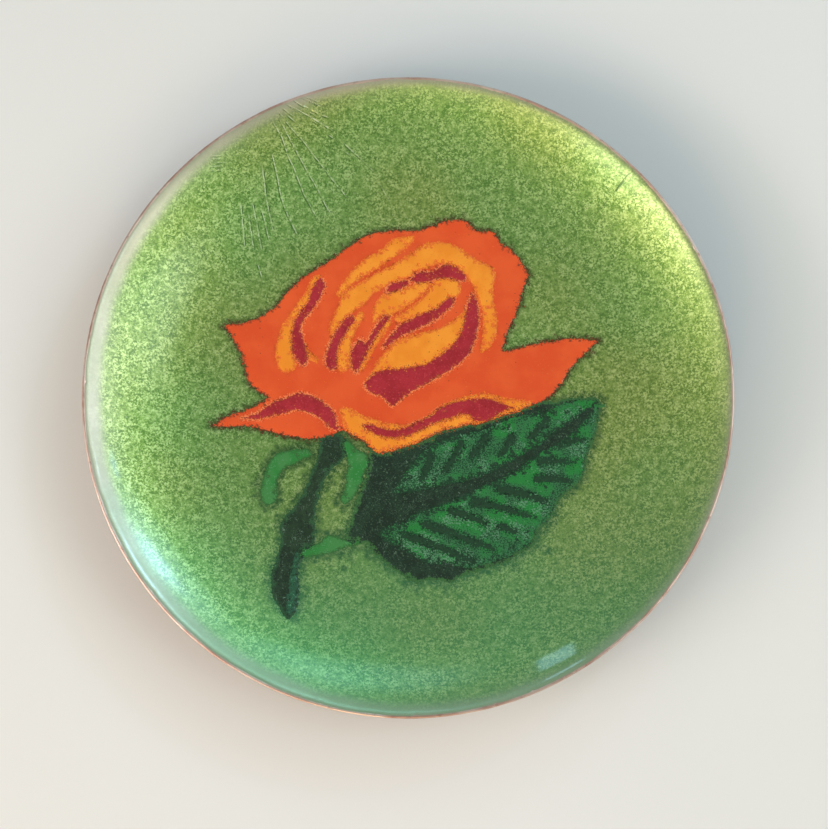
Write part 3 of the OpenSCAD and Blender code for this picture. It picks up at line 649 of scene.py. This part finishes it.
def sprout_enamel():
    t = glossy("sepal_enamel")
    colour = t.mix(t.ramp(t.noise(4.0, detail=2.0), 0.40, 0.60), srgb(44, 124, 52), srgb(64, 130, 66))
    colour = t.mix(t.speckle(0.25, 0.4), colour, srgb(84, 146, 92))
    colour = t.mix(t.speckle(fringe(t, "edge", 1.0, 0.0, 0.8), 0.36, 7, soft=0.1), colour, srgb(50, 100, 46))
    colour = t.mix(t.speckle(fringe(t, "shade", -1.2, 0.0, 0.7), 0.36, 27), colour, srgb(24, 52, 32))
    t.bump(t.noise(1.1, detail=2.0), 0.010, 0.5)
    return t.paint(colour)


def shade_enamel(name, main, second, light, light_share, own_edge, hairs=0.0):
    """A green in two tones with lighter and darker grains, a tone of its own at the edge and perhaps pale hairs."""
    t = glossy(name)
    colour = t.mix(t.ramp(t.noise(4.0, detail=2.0), 0.40, 0.60), main, second)
    colour = t.mix(t.speckle(light_share, 0.34, 3), colour, light)
    colour = t.mix(t.speckle(0.3, 0.4, 33), colour, srgb(16, 34, 22))
    if hairs:
        curl = t.math("SUBTRACT", t.noise(1.5, detail=1.0, distortion=1.2), 0.5)
        hair = t.ramp(t.math("ABSOLUTE", curl), 0.012, 0.0)
        rare = t.ramp(t.noise(1.8, detail=1.0, place=t.shifted(70)), 0.50, 0.60)
        colour = t.mix(t.math("MULTIPLY", t.math("MULTIPLY", hair, rare), hairs), colour, srgb(128, 160, 136))
    colour = t.mix(t.speckle(fringe(t, "edge", 1.2, 0.0, 0.9), 0.38, 35, soft=0.08), colour, own_edge)
    t.bump(t.noise(1.1, detail=2.0), 0.010, 0.5)
    return t.paint(colour)


def copper():
    """Bare copper at the ground-off edge: pinkish, dulled by handling, with a little fire scale."""
    t = Tree("copper")
    tone = t.noise(9.0, detail=4.0, rough=0.6)
    colour = t.mix(t.ramp(tone, 0.38, 0.62), srgb(196, 158, 140), srgb(222, 196, 180))
    scale = t.ramp(t.noise(2.1, detail=3.0), 0.56, 0.74)
    colour = t.mix(t.math("MULTIPLY", scale, 0.6), colour, srgb(140, 100, 82))
    streak = t.noise(0.25, detail=2.0)
    t.bump(streak, 0.01, 0.4)
    return t.paint(colour, t.ramp(streak, 0.3, 0.7, 0.3, 0.48), t.ramp(scale, 0.0, 1.0, 0.85, 0.45))


def counter_enamel():
    t = Tree("counter_enamel", IOR=1.5, Coat_Weight=1.0, Coat_Roughness=0.06, Coat_IOR=1.5)
    grain = t.noise(0.7, detail=3.0, rough=0.65)
    fleck = t.cells(2.6)
    colour = t.mix(t.ramp(grain, 0.42, 0.60), srgb(28, 34, 34), srgb(66, 76, 70))
    colour = t.mix(t.math("MULTIPLY", t.ramp(fleck, 0.20, 0.10), 0.8), colour, srgb(150, 158, 146))
    r = t.radius()
    wobble = t.math("MULTIPLY_ADD", t.noise(5.0, detail=2.0), 2.6, r)
    colour = t.mix(t.ramp(wobble, 73.4, 75.6), colour, srgb(116, 92, 74))
    t.bump(t.noise(2.0, detail=3.0), 0.03, 0.5)
    return t.paint(colour, t.ramp(grain, 0.3, 0.7, 0.16, 0.30))


ORANGE = orange_enamel()
YELLOW = yellow_enamel()
CRIMSON = crimson_enamel()
LEAF = leaf_enamel()
SEPAL = sprout_enamel()
DARK = shade_enamel("dark_enamel", srgb(20, 42, 24), srgb(28, 54, 34), srgb(70, 100, 74), 0.22,
                    srgb(56, 102, 52), hairs=0.6)
STEM_DARK = shade_enamel("stem_dark_enamel", srgb(26, 49, 27), srgb(36, 60, 36), srgb(66, 98, 70), 0.2,
                         srgb(44, 84, 50), hairs=0.8)
VEIN = shade_enamel("vein_enamel", srgb(20, 46, 26), srgb(26, 54, 34), srgb(52, 88, 60), 0.2,
                    srgb(26, 62, 36))
STEM = shade_enamel("stem_enamel", srgb(48, 122, 80), srgb(66, 140, 96), srgb(120, 170, 136), 0.3,
                    srgb(40, 86, 58))
GREEN = ground_enamel()
COPPER = copper()
COUNTER_ENAMEL = counter_enamel()

# ---------------------------------------------------------------- the coats, in the order they are sifted on
SOFT = dict(cell=0.14, rough=0.22, grains=2.5, pits=0.3, taper=1.0, grow=0.08, spread=0.4)
for k, (node, slot, material) in enumerate((
    ("leaf_dark_base", "dark_enamel", DARK),
    ("stem_dark", "dark_enamel", STEM_DARK),
    ("twig_green", "sepal_enamel", SEPAL),
    ("sepal_left", "sepal_enamel", SEPAL),
    ("sepal_right", "sepal_enamel", SEPAL),
)):
    thin = dict(rough=0.14, grow=0.22) if node in SPROUTS else {}  # less ragged, a little wider
    lay_coat("enamel_" + node, node, slot, material, BODY_T, 100 + 7 * k, over="cool", near=("shade",),
             **{**SOFT, **thin})
lay_coat("enamel_bloom_orange", "bloom_orange_coat", "orange_enamel", ORANGE, BODY_T, 171, cell=0.13, rough=0.18,
         grains=3.5, pits=1.0, taper=1.0, spread=0.24, over="warm", near=("crimson", "yellow"))
for k, node in enumerate(YELLOWS + CRIMSONS):
    slot, material = ("yellow_enamel", YELLOW) if node in YELLOWS else ("crimson_enamel", CRIMSON)
    lay_coat("enamel_" + node, node, slot, material, STROKE_T, 200 + 7 * k, cell=0.125, rough=0.20, grains=4.0,
             pits=1.2, taper=0.7, spread=0.3, near=("crimson", "bloom"))
for k, node in enumerate(("stem_highlight",) + LEAVES):
    slot, material = ("leaf_enamel", LEAF) if node in LEAVES else ("stem_enamel", STEM)
    lay_coat("enamel_" + node, node, slot, material, STROKE_T, 400 + 7 * k, cell=0.14, rough=0.24, grains=4.0,
             pits=2.5, taper=0.9, spread=0.5, near=("vein", "shade"))
for k, node in enumerate(VEINS):
    lay_coat("enamel_" + node, node, "dark_enamel", VEIN, VEIN_T, 500 + 7 * k, cell=0.125, rough=0.26, grains=6.0,
             pits=1.5, taper=0.7, spread=0.5)


# ---------------------------------------------------------------- the green ground
# Fine creases of the glaze: strength, then points in mm, read off the photo. Most fan out from the rim
# at the upper left. A strength below 0 makes a dark one.
# Each crease has a painted highlight on one side and a painted shade on the other.
CREASES = (
    (0.8, (-40.3, 47.4), (-39.2, 35.8)),
    (0.8, (-38.4, 44.9), (-37.2, 35.5)),
    (0.9, (-37.5, 47.6), (-35.2, 35.3)),
    (1.0, (-36.6, 33.1), (-35.2, 28.8)),
    (0.9, (-35.6, 45.9), (-33.4, 37.3)),
    (1.0, (-35.1, 56.1), (-34.2, 48.3), (-32.5, 40.4)),
    (1.0, (-33.0, 58.8), (-31.9, 54.4), (-30.8, 48.5), (-29.1, 44.1), (-26.7, 39.5)),
    (1.0, (-32.4, 65.2), (-30.4, 61.9), (-29.0, 57.9), (-27.4, 54.7), (-25.5, 49.9), (-22.2, 44.0)),
    (0.9, (-31.2, 66.4), (-28.1, 61.0), (-25.4, 56.3), (-22.6, 51.8), (-19.8, 46.5), (-18.6, 44.8)),
    (0.8, (-30.7, 66.7), (-25.7, 61.8), (-21.8, 57.2), (-17.8, 52.4), (-14.6, 48.5)),
    (0.9, (-29.7, 67.2), (-26.7, 65.2)),
    (1.0, (-28.8, 68.7), (-24.6, 66.8)),
    (1.0, (-27.9, 68.7), (-20.5, 65.3), (-17.7, 63.7)),
    (1.0, (-26.8, 69.5), (-22.4, 68.0), (-18.4, 66.4)),
    (1.0, (-25.9, 70.8), (-20.5, 68.9)),
    (0.9, (-24.7, 71.1), (-21.2, 69.8)),
    (0.8, (-16.1, 61.8), (-12.2, 58.6), (-8.1, 54.9)),
    (0.6, (-7.4, 52.8), (-3.7, 46.7)),
    (0.7, (-20.6, 60.3), (-18.5, 58.8)),
    (0.7, (-16.5, 60.6), (-13.6, 58.3)),
    (0.9, (-25.5, 71.3), (-23.1, 70.4)),
    (0.9, (-27.8, 70.3), (-24.0, 68.2)),
    (1.0, (-29.4, 69.3), (-25.6, 67.5)),
    (0.9, (-30.6, 68.5), (-27.2, 66.4)),
    (0.8, (-23.2, 67.9), (-18.4, 66.7)),
    (0.9, (-25.5, 68.8), (-21.7, 66.7)),
    (0.8, (-20.1, 63.6), (-17.3, 61.9)),
    (0.8, (-31.6, 67.9), (-29.3, 65.6)),
    (0.8, (-24.1, 66.6), (-20.3, 64.4)),
    (0.7, (-32.8, 66.0), (-31.7, 63.3)),
    (0.5, (-47.6, 56.4), (-43.3, 57.0)),
    (0.5, (-48.1, 55.7), (-43.0, 56.3)),
    (0.5, (-47.5, 54.9), (-42.6, 55.5)),
    (0.5, (-48.3, 54.0), (-43.4, 54.7)),
    (0.5, (-48.0, 53.2), (-43.8, 53.8)),
    (-1.2, (53.1, 52.8), (48.7, 47.8)),
    (-0.5, (48.3, 47.3), (42.5, 41.5)),
)
# Rows of points along a crease: how far to its side in mm; painted highlight and raised (1) or painted shade and
# sunk (-1).
CREASE_ROWS = ((-0.28, 0.0), (-0.11, 1.0), (0.15, -1.0), (0.42, 0.0))
CREASE_STEP = 0.4
CREASE_RELIEF = 0.022  # how far a strength of 1 raises or sinks the glaze
CREASE_CLEAR = 0.3  # other points of the ground keep this far from a crease
NOISE_R = 70  # radius of the circle on which noise along the rim is read
GROUND_END_R = 75.34  # the ground ends about here
GROUND_END_MOST = 75.42  # and nowhere beyond
GROUND_SIDES = 900
GROUND_ROWS = (0.25, 0.6, 1.1, 1.7, 2.5, 3.6, 5.0, 6.8)  # rings of points, in mm from the enamel's end
GROUND_INNER_R = 67.3  # inside the rings the points are on lattices
GROUND_CURL = 1.3  # the enamel thins out over this width at its end
LATTICE = np.arange(-68, 68.1, 2.0)
FINE_BAND = (-2.4, 0.9)  # signed distance to the first coats where the points are close together
HALO_WIDTHS = (("warm", 0.9), ("cool", 1.1))
HALO_END = 2.6  # no halo further than this from a coat
HALO_MOST_R = 60  # nor further than this from the axis


def crease_rows(points, strength, seed):
    """Points along both sides of a crease, and how much painted highlight or painted shade each carries; it fades
    at both ends.
    """
    p = np.array(points)
    step = np.hypot(*np.diff(p, axis=0).T)
    along = np.concatenate([[0], np.cumsum(step)])
    q = np.linspace(0, along[-1], int(along[-1] / CREASE_STEP) + 2)
    x, y = np.interp(q, along, p[:, 0]), np.interp(q, along, p[:, 1])
    tx, ty = np.gradient(x), np.gradient(y)
    size = np.hypot(tx, ty)
    nx, ny = -ty / size, tx / size
    # The painted highlight goes on the side towards +y and a little -x, the painted shade on the other.
    side = 1.0 if ny.mean() - 0.2 * nx.mean() < 0 else -1.0
    drift = 0.07 * value_noise(q, 0 * q + seed, 1.3, 61)
    fade = np.clip(np.minimum(q, along[-1] - q) / 1.5, 0.15, 1)
    rows, values = [], []
    for offset, value in CREASE_ROWS:
        if strength < 0:
            value = -abs(value)
        rows.append(np.stack([x + side * nx * (offset + drift), y + side * ny * (offset + drift)], 1))
        values.append(value * abs(strength) * fade)
    return np.concatenate(rows), np.concatenate(values)


def ring(radius, count, phase=0.0):
    """Points round the axis at a radius that depends on the angle."""
    a = np.arange(count) / count * 2 * math.pi + phase
    rr = radius(a)
    return np.stack([rr * np.cos(a), rr * np.sin(a)], 1)


def around(a, size, seed):
    """Noise along the rim, the same where the circle closes."""
    return value_noise(NOISE_R * np.cos(a) + 300, NOISE_R * np.sin(a) + 300, size, seed)


def ground_end(a):
    """Where the ground enamel stops short of the bare edge."""
    chipped = value_noise(NOISE_R * np.cos(a) + 200, NOISE_R * np.sin(a) + 200, 1.3, 33)
    chips = np.maximum(chipped - 0.78, 0) * 1.4
    wavy = GROUND_END_R + 0.07 * around(a, 4.5, 31) + 0.03 * around(a, 0.8, 32)
    return np.minimum(wavy, GROUND_END_MOST) - chips


def build_ground():
    """The green ground: finer where haloes and creases need it, with the creases as real relief."""
    count = GROUND_SIDES
    end = ring(ground_end, count)
    edges = np.stack([np.arange(count), (np.arange(count) + 1) % count], 1)
    rows = [end]
    for k, back in enumerate(GROUND_ROWS):
        sides = count // (2 if k > 2 else 1)
        rows.append(ring(lambda q, back=back: ground_end(q) - back, sides, 0.001 * k))
    near = np.maximum(laid["warm"], laid["cool"])
    fine = (near > FINE_BAND[0]) & (near < FINE_BAND[1])
    pick = np.zeros(near.shape, bool)
    pick[::2, ::2] = True
    pick &= fine
    wide = np.zeros(near.shape, bool)
    wide[::8, ::8] = True
    pick |= wide & ~fine
    rows.append(np.stack([SHEET_GRID.xx[pick], SHEET_GRID.yy[pick]], 1))
    xx, yy = np.meshgrid(LATTICE, LATTICE)
    outer = (np.maximum(abs(xx), abs(yy)) > MOTIF_REACH + 0.2) & (np.hypot(xx, yy) < GROUND_INNER_R)
    rows.append(np.stack([xx[outer], yy[outer]], 1))
    rows[-2] = rows[-2][np.hypot(*rows[-2].T) < GROUND_INNER_R]
    crease_pts, crease_values = [], []
    for k, (strength, *points) in enumerate(CREASES):
        q, v = crease_rows(points, strength, k)
        crease_pts.append(q)
        crease_values.append(v)
    crease_pts, crease_values = np.concatenate(crease_pts), np.concatenate(crease_values)
    others = np.concatenate(rows[1:])
    # Only the points about the creases are measured, in blocks that keep the table of distances small.
    box = (np.abs(others - crease_pts.mean(0)) < 70).all(1)
    gap = np.full(len(others), 9.0)
    for start in range(0, len(crease_pts), 400):
        part = crease_pts[start : start + 400]
        d = np.hypot(others[box, None, 0] - part[None, :, 0], others[box, None, 1] - part[None, :, 1]).min(1)
        gap[box] = np.minimum(gap[box], d)
    keep = gap > CREASE_CLEAR
    cloud = np.concatenate([end, crease_pts, others[keep]])
    pts, tris, rim = triangulate(cloud, edges)
    value_at = {(round(x, 4), round(y, 4)): v for (x, y), v in zip(crease_pts, crease_values)}
    crease = np.array([value_at.get((round(float(x), 4), round(float(y), 4)), 0.0) for x, y in pts])
    r = np.hypot(pts[:, 0], pts[:, 1])
    angle = np.arctan2(pts[:, 1], pts[:, 0])
    left = np.maximum(ground_end(angle) - r, 0)
    thick = GROUND * (1 - (1 - np.clip(left / GROUND_CURL, 0, 1)) ** 2)
    thick = np.where(rim, 0, thick + CREASE_RELIEF * crease) + undulation(pts[:, 0], pts[:, 1])
    top = z_at(r, COPPER_IN - thick)
    bottom = z_at(r, COPPER_IN + SINK)
    verts, faces, _, outline = shell(pts, tris, rim, top, bottom, left)
    flat = np.hypot(verts[:, 0], verts[:, 1]) < HALO_MOST_R
    halo = {}
    for key, width in HALO_WIDTHS:
        d = np.maximum(-SHEET_GRID.sample(laid[key], verts[:, 0], verts[:, 1]), 0)
        halo["halo_" + key] = np.where(flat, np.exp(-((d / width) ** 1.5)), 0) * np.where(d > HALO_END, 0, 1)
    halo["crease"] = np.concatenate([crease, crease[~rim]])
    obj = make_object("green_ground", verts, faces, halo, GREEN, outline)
    finish_piece(obj, "green_ground_enamel")


build_ground()


# ---------------------------------------------------------------- copper and counter enamel
def revolve(name, profile, count, material, wobble):
    """A closed solid turned from a closed profile of (r, z) in mm; wobble moves each ring's points in or out."""
    a = np.arange(count) / count * 2 * math.pi
    p = np.array(profile)
    on_axis = p[:, 0] < 1e-6
    verts, index = [], np.zeros((len(p), count), int)
    for k, (r, z) in enumerate(p):
        if on_axis[k]:
            index[k] = len(verts)
            verts.append((0.0, 0.0, z))
            continue
        index[k] = len(verts) + np.arange(count)
        dr, dz = wobble(r, a)
        rr, zz = r + dr, z + dz
        verts += np.stack([rr * np.cos(a), rr * np.sin(a), zz + 0 * a], 1).tolist()
    faces = []
    for k in range(len(p)):
        m = (k + 1) % len(p)
        if on_axis[k] and on_axis[m]:
            continue
        for i in range(count):
            j = (i + 1) % count
            quad = [index[k][i], index[k][j], index[m][j], index[m][i]]
            loop = [q for n, q in enumerate(quad) if q != quad[n - 1]]
            faces.append([int(q) for q in loop])
    return make_object(name, verts, faces, {}, material)


def arc_profile(radius, slopes):
    """Points (r, z) of a wall's arc at these slopes."""
    return [(BASE_R + radius * math.sin(s), ARC_Z - radius * math.cos(s)) for s in slopes]


def build_copper():
    """The copper sheet with its rounded bare edge."""
    slopes = np.linspace(0, RIM_SLOPE, 13).tolist()
    flats = (0.0, 12.0, 25.0)
    outside = [(r, ARC_Z - COPPER_OUT) for r in flats] + arc_profile(COPPER_OUT, slopes[:-1])
    centre = (BASE_R + ARC_MID * math.sin(RIM_SLOPE), ARC_Z - ARC_MID * math.cos(RIM_SLOPE))
    lip = []
    for q in np.linspace(-90, 90, 11):
        t = math.radians(q) + RIM_SLOPE
        lip.append((centre[0] + LIP_R * math.cos(t), centre[1] + LIP_R * math.sin(t)))
    inside = arc_profile(COPPER_IN, slopes[:-1])[::-1] + [(r, ARC_Z - COPPER_IN) for r in flats[::-1]]

    def wobble(r, a):
        """Dents along the edge only."""
        share = max(0.0, (r - 74.6) / 1.4)
        dent = 0.035 * around(a, 5.0, 41) + 0.02 * around(a, 1.4, 42) - 0.05
        return dent * share, 0.035 * (around(a, 7.0, 43) - 1.0) * share

    obj = revolve("copper_sheet", outside + lip + inside, 720, COPPER, wobble)
    finish_piece(obj, "copper_dish")


def build_counter():
    """The counter enamel underneath. The photo doesn't show it: it is guessed."""
    end = RIM_SLOPE - BARE_BACK / COUNTER_OUT
    slopes = np.linspace(0, end, 16).tolist()
    flats = (0.0, 12.0, 25.0, 34.0)
    outside = [(r, ARC_Z - COUNTER_OUT) for r in flats] + arc_profile(COUNTER_OUT, slopes[:-1])
    nose = [
        (BASE_R + q * math.sin(end + d), ARC_Z - q * math.cos(end + d))
        for q, d in (
            (COUNTER_OUT - 0.03, -0.004),
            (COUNTER_OUT - 0.10, -0.001),
            (COUNTER_OUT - 0.18, 0.0),
            (COPPER_OUT + 0.01, 0.0),
        )
    ]
    inside = arc_profile(COPPER_OUT - SINK, slopes[:-1])[::-1]
    inside += [(r, ARC_Z - COPPER_OUT + SINK) for r in flats[::-1]]

    def wobble(r, a):
        """An uneven end to the enamel near the edge only."""
        share = max(0.0, (r - 72.0) / 3.0)
        return share * (0.12 * around(a, 4.0, 51) - 0.14), share * 0.085 * (around(a, 4.0, 51) - 1.15)

    obj = revolve("counter_enamel_back", outside + nose + inside, 600, COUNTER_ENAMEL, wobble)
    finish_piece(obj, "back_counter_enamel")


build_copper()
build_counter()

# ---------------------------------------------------------------- floor, lights and camera
FLOOR_HALF = 2.5  # m
CAMERA_ELEVATION = 79.896  # degrees
CAMERA_TARGET = (1.3626, -6.2214, 13.244)  # mm
CAMERA_DISTANCE = 0.45  # m
CAMERA_SENSOR = 36.0  # mm
FOCAL_PIXELS, IMAGE_PIXELS = 1939.5, 829
WORLD_COLOUR, WORLD_STRENGTH = (0.96, 0.98, 1.0, 1), 0.32


def floor():
    """A plain pale floor under the dish."""
    mesh = bpy.data.meshes.new("floor")
    s = FLOOR_HALF
    mesh.from_pydata([(-s, -s, 0), (s, -s, 0), (s, s, 0), (-s, s, 0)], [], [(0, 1, 2, 3)])
    obj = bpy.data.objects.new("floor", mesh)
    bpy.context.scene.collection.objects.link(obj)
    t = Tree("floor", Roughness=0.7)
    t.paint(t.mix(t.noise(180.0, detail=2.0), srgb(226, 224, 219), srgb(232, 230, 226)))
    mesh.materials.append(t.material)


def panel(name, azimuth, zenith, distance, width, height, radiance, colour, soft):
    """A rectangular light that faces the dish; a soft one fades from its middle to its edges."""
    light = bpy.data.lights.new(name, "AREA")
    light.shape = "RECTANGLE"
    light.size, light.size_y = width, height
    light.energy = radiance * math.pi * width * height
    light.color = colour
    if soft:
        light.use_nodes = True
        nt = light.node_tree
        place = nt.nodes.new("ShaderNodeNewGeometry").outputs["Parametric"]
        centred = nt.nodes.new("ShaderNodeVectorMath")
        centred.operation = "SUBTRACT"
        centred.inputs[1].default_value = (0.5, 0.5, 0.0)
        length = nt.nodes.new("ShaderNodeVectorMath")
        length.operation = "LENGTH"
        fade = nt.nodes.new("ShaderNodeMapRange")
        fade.interpolation_type = "SMOOTHERSTEP"
        for key, value in (("From Min", 0.5), ("From Max", 0.08), ("To Min", 0.0), ("To Max", 1.0)):
            fade.inputs[key].default_value = value
        nt.links.new(place, centred.inputs[0])
        nt.links.new(centred.outputs[0], length.inputs[0])
        nt.links.new(length.outputs["Value"], fade.inputs["Value"])
        nt.links.new(fade.outputs[0], nt.nodes["Emission"].inputs["Strength"])
    obj = bpy.data.objects.new(name, light)
    az, zen = math.radians(azimuth), math.radians(zenith)
    out = Vector((math.sin(zen) * math.cos(az), math.sin(zen) * math.sin(az), math.cos(zen)))
    obj.location = out * distance
    obj.rotation_euler = out.to_track_quat("Z", "Y").to_euler()
    bpy.context.scene.collection.objects.link(obj)


# Name; azimuth and angle from straight up, in degrees; distance, width and height, in metres; radiance; colour;
# soft edge. Strengths and tints were tuned to the one photo, so that its reflections show on the wall of the dish.
LIGHTS = (
    ("softbox_right", 12, 55, 1.3, 1.15, 0.9, 2.8, (0.81, 0.89, 1.0), True),
    ("softbox_right_back", 45, 56, 1.3, 0.8, 0.55, 4.6, (0.52, 0.84, 1.0), True),
    ("softbox_right_front", 335, 60, 1.3, 0.8, 0.7, 4.8, (0.97, 1.0, 0.94), True),
    ("softbox_right_high", 0, 35, 1.3, 0.8, 0.8, 2.4, (0.80, 1.0, 1.0), True),
    ("softbox_front_left", 213, 55, 1.3, 1.35, 0.9, 3.9, (1.0, 0.86, 0.70), True),
    ("softbox_front_left_low", 213, 70, 1.3, 1.2, 0.6, 2.6, (1.0, 0.90, 0.80), True),
    ("softbox_front_left_edge", 206, 65, 1.3, 1.2, 0.34, 11.5, (1.0, 0.93, 0.90), True),
    ("softbox_left", 190, 67, 1.3, 0.8, 0.6, 5.4, (1.0, 0.86, 0.96), True),
    ("softbox_front", 260, 62, 1.3, 1.0, 0.7, 5.2, (1.0, 0.74, 0.40), True),
    ("softbox_front_low", 250, 72, 1.3, 1.0, 0.5, 2.8, (1.0, 0.76, 0.50), True),
    ("softbox_back_right_low", 70, 60, 1.3, 0.8, 0.5, 1.8, (0.50, 1.0, 0.88), True),
    ("softbox_back", 84, 55, 1.5, 1.1, 0.5, 1.5, (0.36, 0.9, 1.0), True),
    ("window_back_right", 45.5, 57, 1.3, 0.36, 0.22, 11.0, (0.42, 0.63, 1.0), True),
    ("window_right_back", 28, 54, 1.3, 0.14, 0.10, 7.0, (0.40, 0.66, 1.0), True),
    ("window_back", 112.5, 61, 1.3, 0.12, 0.12, 4.5, (0.42, 0.80, 1.0), False),
)


def camera():
    """The photo's view. The elevation was solved from the rim's outline; the distance is assumed."""
    elevation = math.radians(CAMERA_ELEVATION)
    target = Vector(CAMERA_TARGET) * MM
    back = Vector((0, -math.cos(elevation), math.sin(elevation)))
    cam = bpy.data.cameras.new("camera")
    cam.sensor_width = CAMERA_SENSOR
    cam.sensor_fit = "AUTO"
    cam.lens = FOCAL_PIXELS * CAMERA_SENSOR / IMAGE_PIXELS
    cam.clip_start = 0.01
    obj = bpy.data.objects.new("camera", cam)
    obj.location = target + back * CAMERA_DISTANCE
    obj.rotation_euler = back.to_track_quat("Z", "Y").to_euler()
    bpy.context.scene.collection.objects.link(obj)
    bpy.context.scene.camera = obj


def lights():
    """A dim even sky and the panels."""
    world = bpy.data.worlds.new("studio")
    world.use_nodes = True
    background = world.node_tree.nodes["Background"]
    background.inputs["Color"].default_value = WORLD_COLOUR
    background.inputs["Strength"].default_value = WORLD_STRENGTH
    bpy.context.scene.world = world
    for row in LIGHTS:
        panel(*row)


floor()
camera()
lights()
bpy.context.scene.view_settings.view_transform = "Standard"
